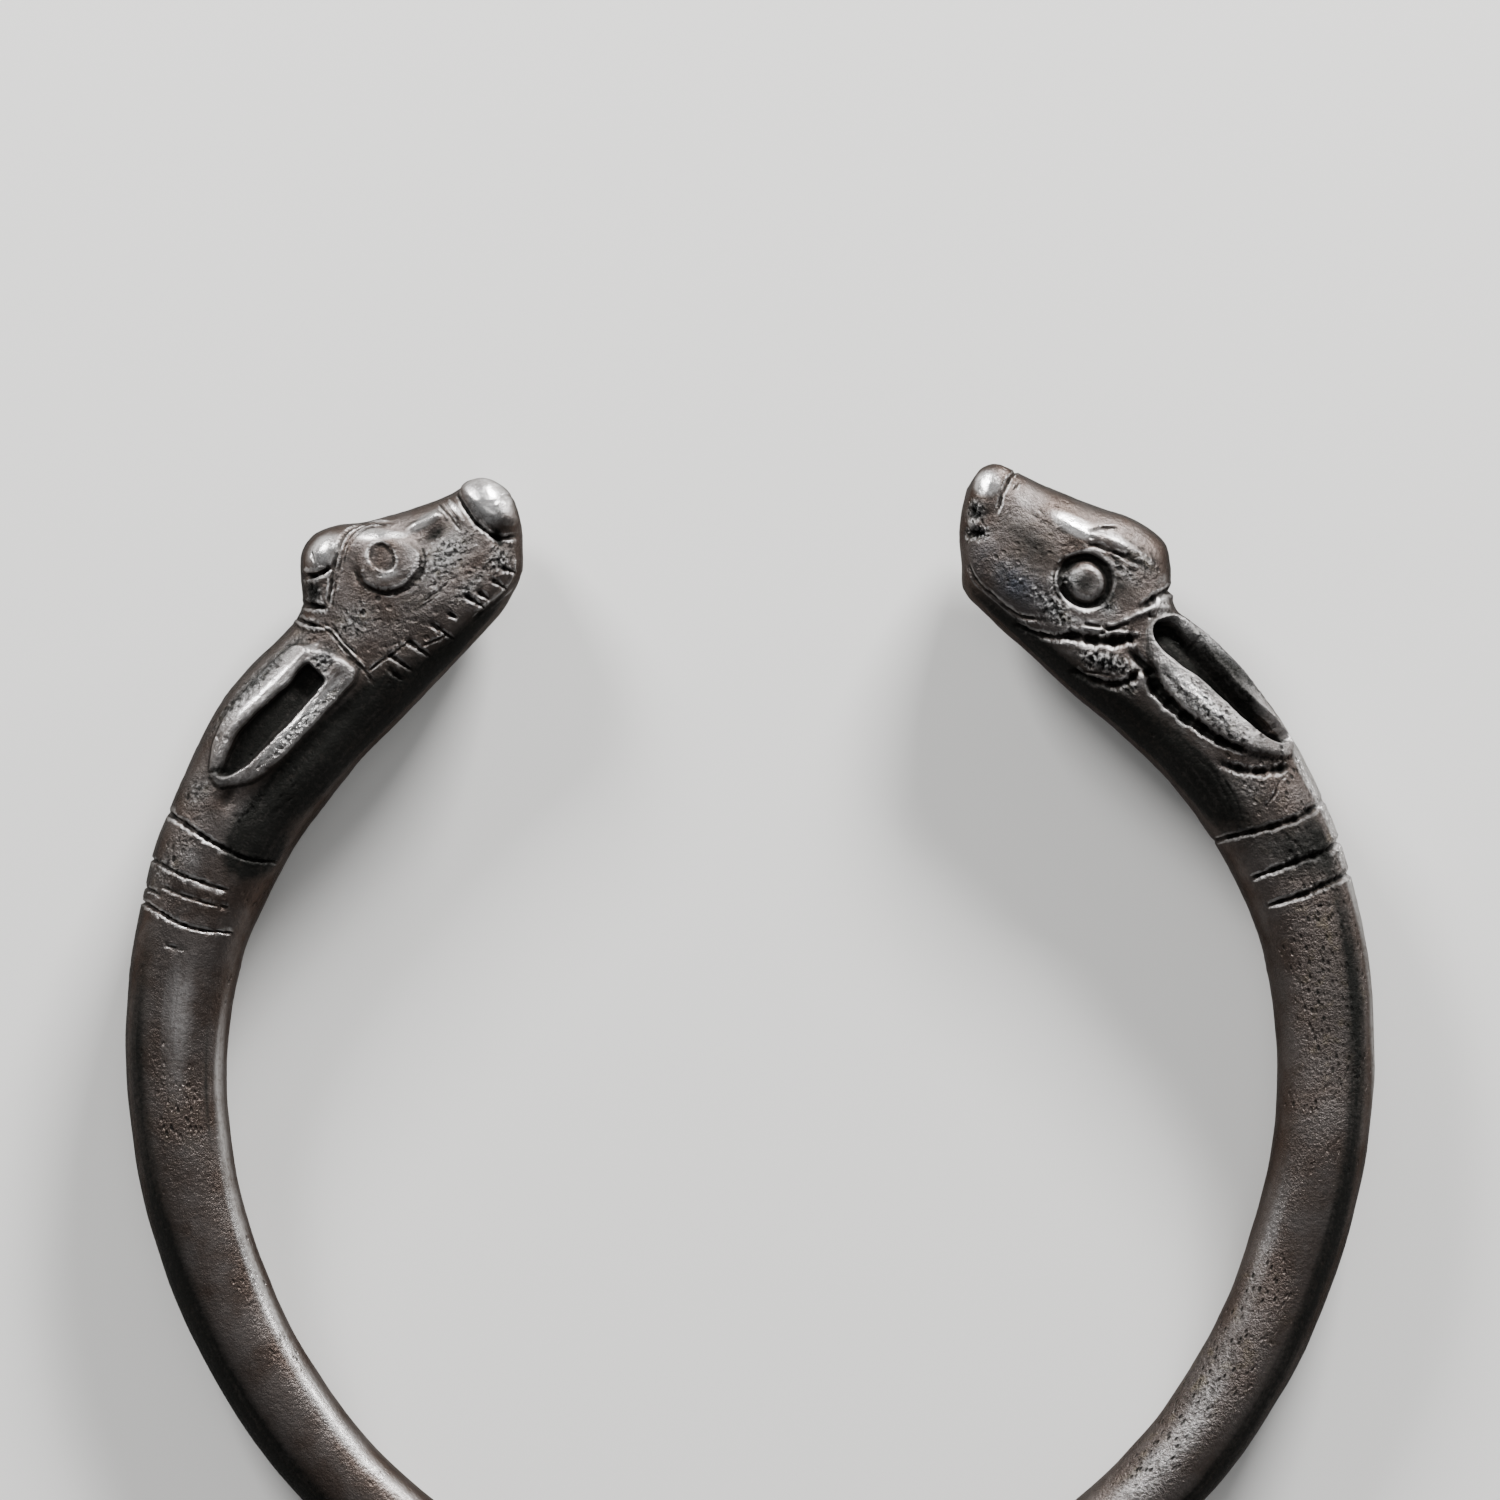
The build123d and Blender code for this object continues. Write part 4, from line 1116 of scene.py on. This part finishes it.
def silver_material(colours):
    """Tarnished silver, rubbed clean on its crests, with painted highlights and painted shade: the mesh's own
    attributes say where.
    """
    material = bpy.data.materials.new("worn_silver")
    nodes = Nodes(material)
    place = nodes.add("ShaderNodeTexCoord").outputs["Object"]
    strokes = nodes.add("ShaderNodeAttribute", attribute_name="strokes").outputs["Vector"]
    fine = nodes.attribute("fine_crest")
    wide = nodes.attribute("wide_crest")
    wear = nodes.attribute("wear")
    rough_share = nodes.attribute("rough")

    # Clouds of tarnish, mottling and grain, and streaks that run along the rod, by how many go in a metre
    cloudy = nodes.noise(place, 330.0, 4.0, 0.6)
    mottle = nodes.noise(place, 3400.0, 4.0, 0.7)
    grain = nodes.noise(place, 9000.0, 3.0, 0.65)
    streaks = nodes.noise(nodes.stretched(strokes, (0.05, 1.0, 1.0), (0, 0, 0.05)), 2600.0, 3.0, 0.6)

    # Small pits drawn out along the rod, many where the metal is rough and few elsewhere
    cell_inputs = {"Vector": nodes.stretched(strokes, (0.55, 1.0, 1.0)), "Scale": 2900.0}
    cells = nodes.add("ShaderNodeTexVoronoi", cell_inputs).outputs["Distance"]
    pocked = nodes.ramp(nodes.scaled(rough_share, 0.34, cloudy), 0.54, 0.74)
    pits = nodes.times(nodes.ramp(cells, 0.36, 0.14), pocked)

    # Dark tarnish in the hollows, where nothing rubs, and in the pits, with painted shade along both sides of
    # the hoop and where the wear share is below nought
    tarnish_and_painted_shade = nodes.most(
        nodes.times(nodes.ramp(fine, -0.006, -0.045), 0.75),
        nodes.ramp(wide, -0.03, -0.30),
        nodes.ramp(wear, 0.0, -0.7),
        nodes.times(nodes.attribute("edge_painted_shade"), 0.74),
        nodes.times(nodes.times(rough_share, nodes.ramp(mottle, 0.50, 0.40)), 0.65),
        nodes.times(pits, 0.85),
    )
    tarnish_and_painted_shade = nodes.scaled(nodes.math("SUBTRACT", streaks, 0.5), 0.5, tarnish_and_painted_shade)
    tarnish_and_painted_shade = nodes.scaled(nodes.math("SUBTRACT", mottle, 0.5), 0.8, tarnish_and_painted_shade, clamp=True)

    # Rubbed places and painted highlights, each pattern taking up to its share away from them
    crests = nodes.times(nodes.ramp(fine, 0.014, 0.060), nodes.scaled(rough_share, -0.4, 0.6))
    worn_and_painted_highlight = nodes.most(nodes.times(nodes.ramp(wide, 0.06, 0.30), 0.42), crests, nodes.ramp(wear, 0.15, 0.9))
    for pattern, low, high, share in (
        (mottle, 0.36, 0.56, 0.5),
        (streaks, 0.38, 0.58, 0.4),
        (cloudy, 0.58, 0.40, 0.25),
    ):
        worn_and_painted_highlight = nodes.times(worn_and_painted_highlight, nodes.scaled(nodes.ramp(pattern, low, high), share, 1 - share))

    # The most rubbed places and the strongest painted highlights are clean whatever lies round them
    polished_and_painted_highlight = nodes.ramp(wear, 0.7, 1.4)
    worn_and_painted_highlight = nodes.most(worn_and_painted_highlight, polished_and_painted_highlight)
    tarnish_and_painted_shade = nodes.times(tarnish_and_painted_shade, nodes.scaled(polished_and_painted_highlight, -0.7, 1.0))

    # Colours, each over the ones before it
    specks = nodes.ramp(nodes.noise(place, 1100.0), 0.54, 0.68)
    base = opaque(colours.body)
    for share, colour in (
        (nodes.times(nodes.ramp(cloudy, 0.35, 0.65), nodes.scaled(rough_share, -0.6, 1.0)), colours.brown),
        (nodes.times(nodes.attribute("crust"), 0.9), colours.crust),
        (nodes.times(specks, nodes.times(rough_share, 0.45)), colours.ochre),
        (nodes.times(nodes.attribute("blue_film"), nodes.ramp(cloudy, 0.65, 0.4)), colours.blue),
        # The worn colour covers rubbed metal and painted highlights
        (nodes.times(worn_and_painted_highlight, 0.8), colours.bright),
        # The dark colour covers tarnish and painted shade
        (tarnish_and_painted_shade, colours.dark_tarnish_and_shade),
    ):
        base = nodes.colour(share, base, opaque(colour))

    # Pits and a fine grain, fainter where the metal is rubbed smooth, and streaks along the rod
    uneven = nodes.scaled(rough_share, 0.8, 0.36)
    uneven = nodes.scaled(nodes.ramp(wear, 0.1, 0.7), -0.22, uneven, clamp=True)
    bump = None
    for height, strength, distance in (
        (streaks, 0.5, 0.00003),
        (mottle, uneven, 0.00020),
        (grain, uneven, 0.00006),
        (nodes.math("SUBTRACT", 1.0, pits), 0.7, 0.00013),
    ):
        node = nodes.add("ShaderNodeBump", {"Strength": strength, "Distance": distance, "Height": height})
        if bump:
            nodes.set(node.inputs["Normal"], bump)
        bump = node.outputs[0]

    roughness = nodes.scaled(grain, 0.14, nodes.scaled(tarnish_and_painted_shade, 0.26, 0.28))
    nodes.finish(
        {
            "Base Color": base,
            "Metallic": nodes.scaled(tarnish_and_painted_shade, -0.35, 1.0),
            "Roughness": nodes.scaled(worn_and_painted_highlight, -0.14, roughness),
            "Specular IOR Level": 0.25,
            "Specular Tint": opaque(colours.edge),
            "Normal": bump,
        }
    )
    return material


class BRACELET_OT_chase(bpy.types.Operator):
    """Build the whole bracelet: hoop, necks and both chased heads, of one piece"""

    bl_idname = "bracelet.chase"
    bl_label = "Bracelet"

    def execute(self, context):
        scene = context.scene
        mesh = chased_bracelet(scene.bracelet_sizes)
        mesh.materials.append(silver_material(scene.silver_colours))
        piece = bpy.data.objects.new("chased_bracelet", mesh)
        scene.collection.objects.link(piece)
        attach(piece, "root")
        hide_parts("bracelet")
        return {"FINISHED"}


def plain_material(name, colour, roughness):
    material = bpy.data.materials.new(name)
    Nodes(material).finish({"Base Color": opaque(colour), "Roughness": roughness})
    return material


def pale_floor(colour):
    half_width = 2.0
    bm = bmesh.new()
    bmesh.ops.create_grid(bm, x_segments=1, y_segments=1, size=half_width)
    mesh = bpy.data.meshes.new("floor")
    bm.to_mesh(mesh)
    bm.free()
    mesh.materials.append(plain_material("pale_floor", colour, 0.8))
    return bpy.data.objects.new("floor", mesh)


# A soft box with its middle at a place from the hoop's centre, its width and height, and its power
SoftBox = namedtuple("SoftBox", "name place width height power")
SOFT_BOXES = (
    SoftBox("key_light", (0.18, 0.45, 0.19), 0.17, 0.09, 6.8),
    SoftBox("left_light", (-0.26, 0.38, 0.22), 0.14, 0.12, 3.2),
    SoftBox("right_light", (0.45, 0.30, 0.06), 0.10, 0.07, 1.0),
    SoftBox("high_light", (0.05, 0.05, 0.60), 0.30, 0.30, 0.4),
)


def look_at(place, target, up):
    """A matrix at the place whose -Z looks at the target, with +Y nearest to up."""
    back = (place - target).normalized()
    right = up.cross(back).normalized()
    turn = Matrix((right, back.cross(right), back)).transposed()
    return Matrix.Translation(place) @ turn.to_4x4()


def add_light(scene, box, target):
    data = bpy.data.lights.new(box.name, "AREA")
    data.shape = "RECTANGLE"
    data.size = box.width
    data.size_y = box.height
    data.energy = box.power
    lamp = bpy.data.objects.new(box.name, data)
    lamp.matrix_world = look_at(target + Vector(box.place), target, Vector((0, 0, 1)))
    scene.collection.objects.link(lamp)


def add_camera(scene, stage):
    to_floor = hoop_to_floor()
    target = to_floor @ Vector((0, stage.view_height_above_centre, 0))
    place = to_floor @ Vector((0, stage.view_height_above_centre, stage.camera_distance))
    data = bpy.data.cameras.new("camera")
    data.angle = 2 * math.atan(stage.view_width / 2 / stage.camera_distance)
    data.clip_start = 0.01
    camera = bpy.data.objects.new("camera", data)
    camera.matrix_world = look_at(place, target, to_floor.to_3x3() @ Vector((0, 1, 0)))
    scene.collection.objects.link(camera)
    scene.camera = camera


class BRACELET_OT_stage(bpy.types.Operator):
    """Add the pale floor, the soft lights and the camera"""

    bl_idname = "bracelet.stage"
    bl_label = "Floor, lights and camera"

    def execute(self, context):
        scene = context.scene
        stage = scene.stage_settings
        floor = pale_floor(stage.floor_colour)
        scene.collection.objects.link(floor)
        middle = Vector(WRIST["pos_m"])
        for box in SOFT_BOXES:
            add_light(scene, box, middle)
        world = bpy.data.worlds.new("studio")
        world.use_nodes = True
        background = world.node_tree.nodes["Background"]
        background.inputs["Color"].default_value = opaque(stage.studio_colour)
        background.inputs["Strength"].default_value = stage.studio_strength
        scene.world = world
        add_camera(scene, stage)
        return {"FINISHED"}


class BRACELET_PT_panel(bpy.types.Panel):
    """Sizes, colours and the steps that build the bracelet"""

    bl_label = "Bracelet"
    bl_idname = "BRACELET_PT_panel"
    bl_space_type = "VIEW_3D"
    bl_region_type = "UI"
    bl_category = "Bracelet"

    def draw(self, context):
        scene = context.scene
        for group in (scene.bracelet_sizes, scene.silver_colours, scene.stage_settings):
            box = self.layout.box()
            for name in group.__annotations__:
                box.prop(group, name)
        for step in STEPS:
            self.layout.operator(step.bl_idname)


STEPS = (BRACELET_OT_stage, BRACELET_OT_chase)
GROUPS = (
    (BraceletSizes, "bracelet_sizes"),
    (SilverColours, "silver_colours"),
    (StageSettings, "stage_settings"),
)


def register():
    for group, name in GROUPS:
        bpy.utils.register_class(group)
        setattr(bpy.types.Scene, name, PointerProperty(type=group))
    for cls in (*STEPS, BRACELET_PT_panel):
        bpy.utils.register_class(cls)


def unregister():
    for cls in (BRACELET_PT_panel, *reversed(STEPS)):
        bpy.utils.unregister_class(cls)
    for group, name in reversed(GROUPS):
        delattr(bpy.types.Scene, name)
        bpy.utils.unregister_class(group)


def main():
    register()
    bpy.ops.bracelet.stage()
    bpy.ops.bracelet.chase()


if __name__ == "__main__":
    main()
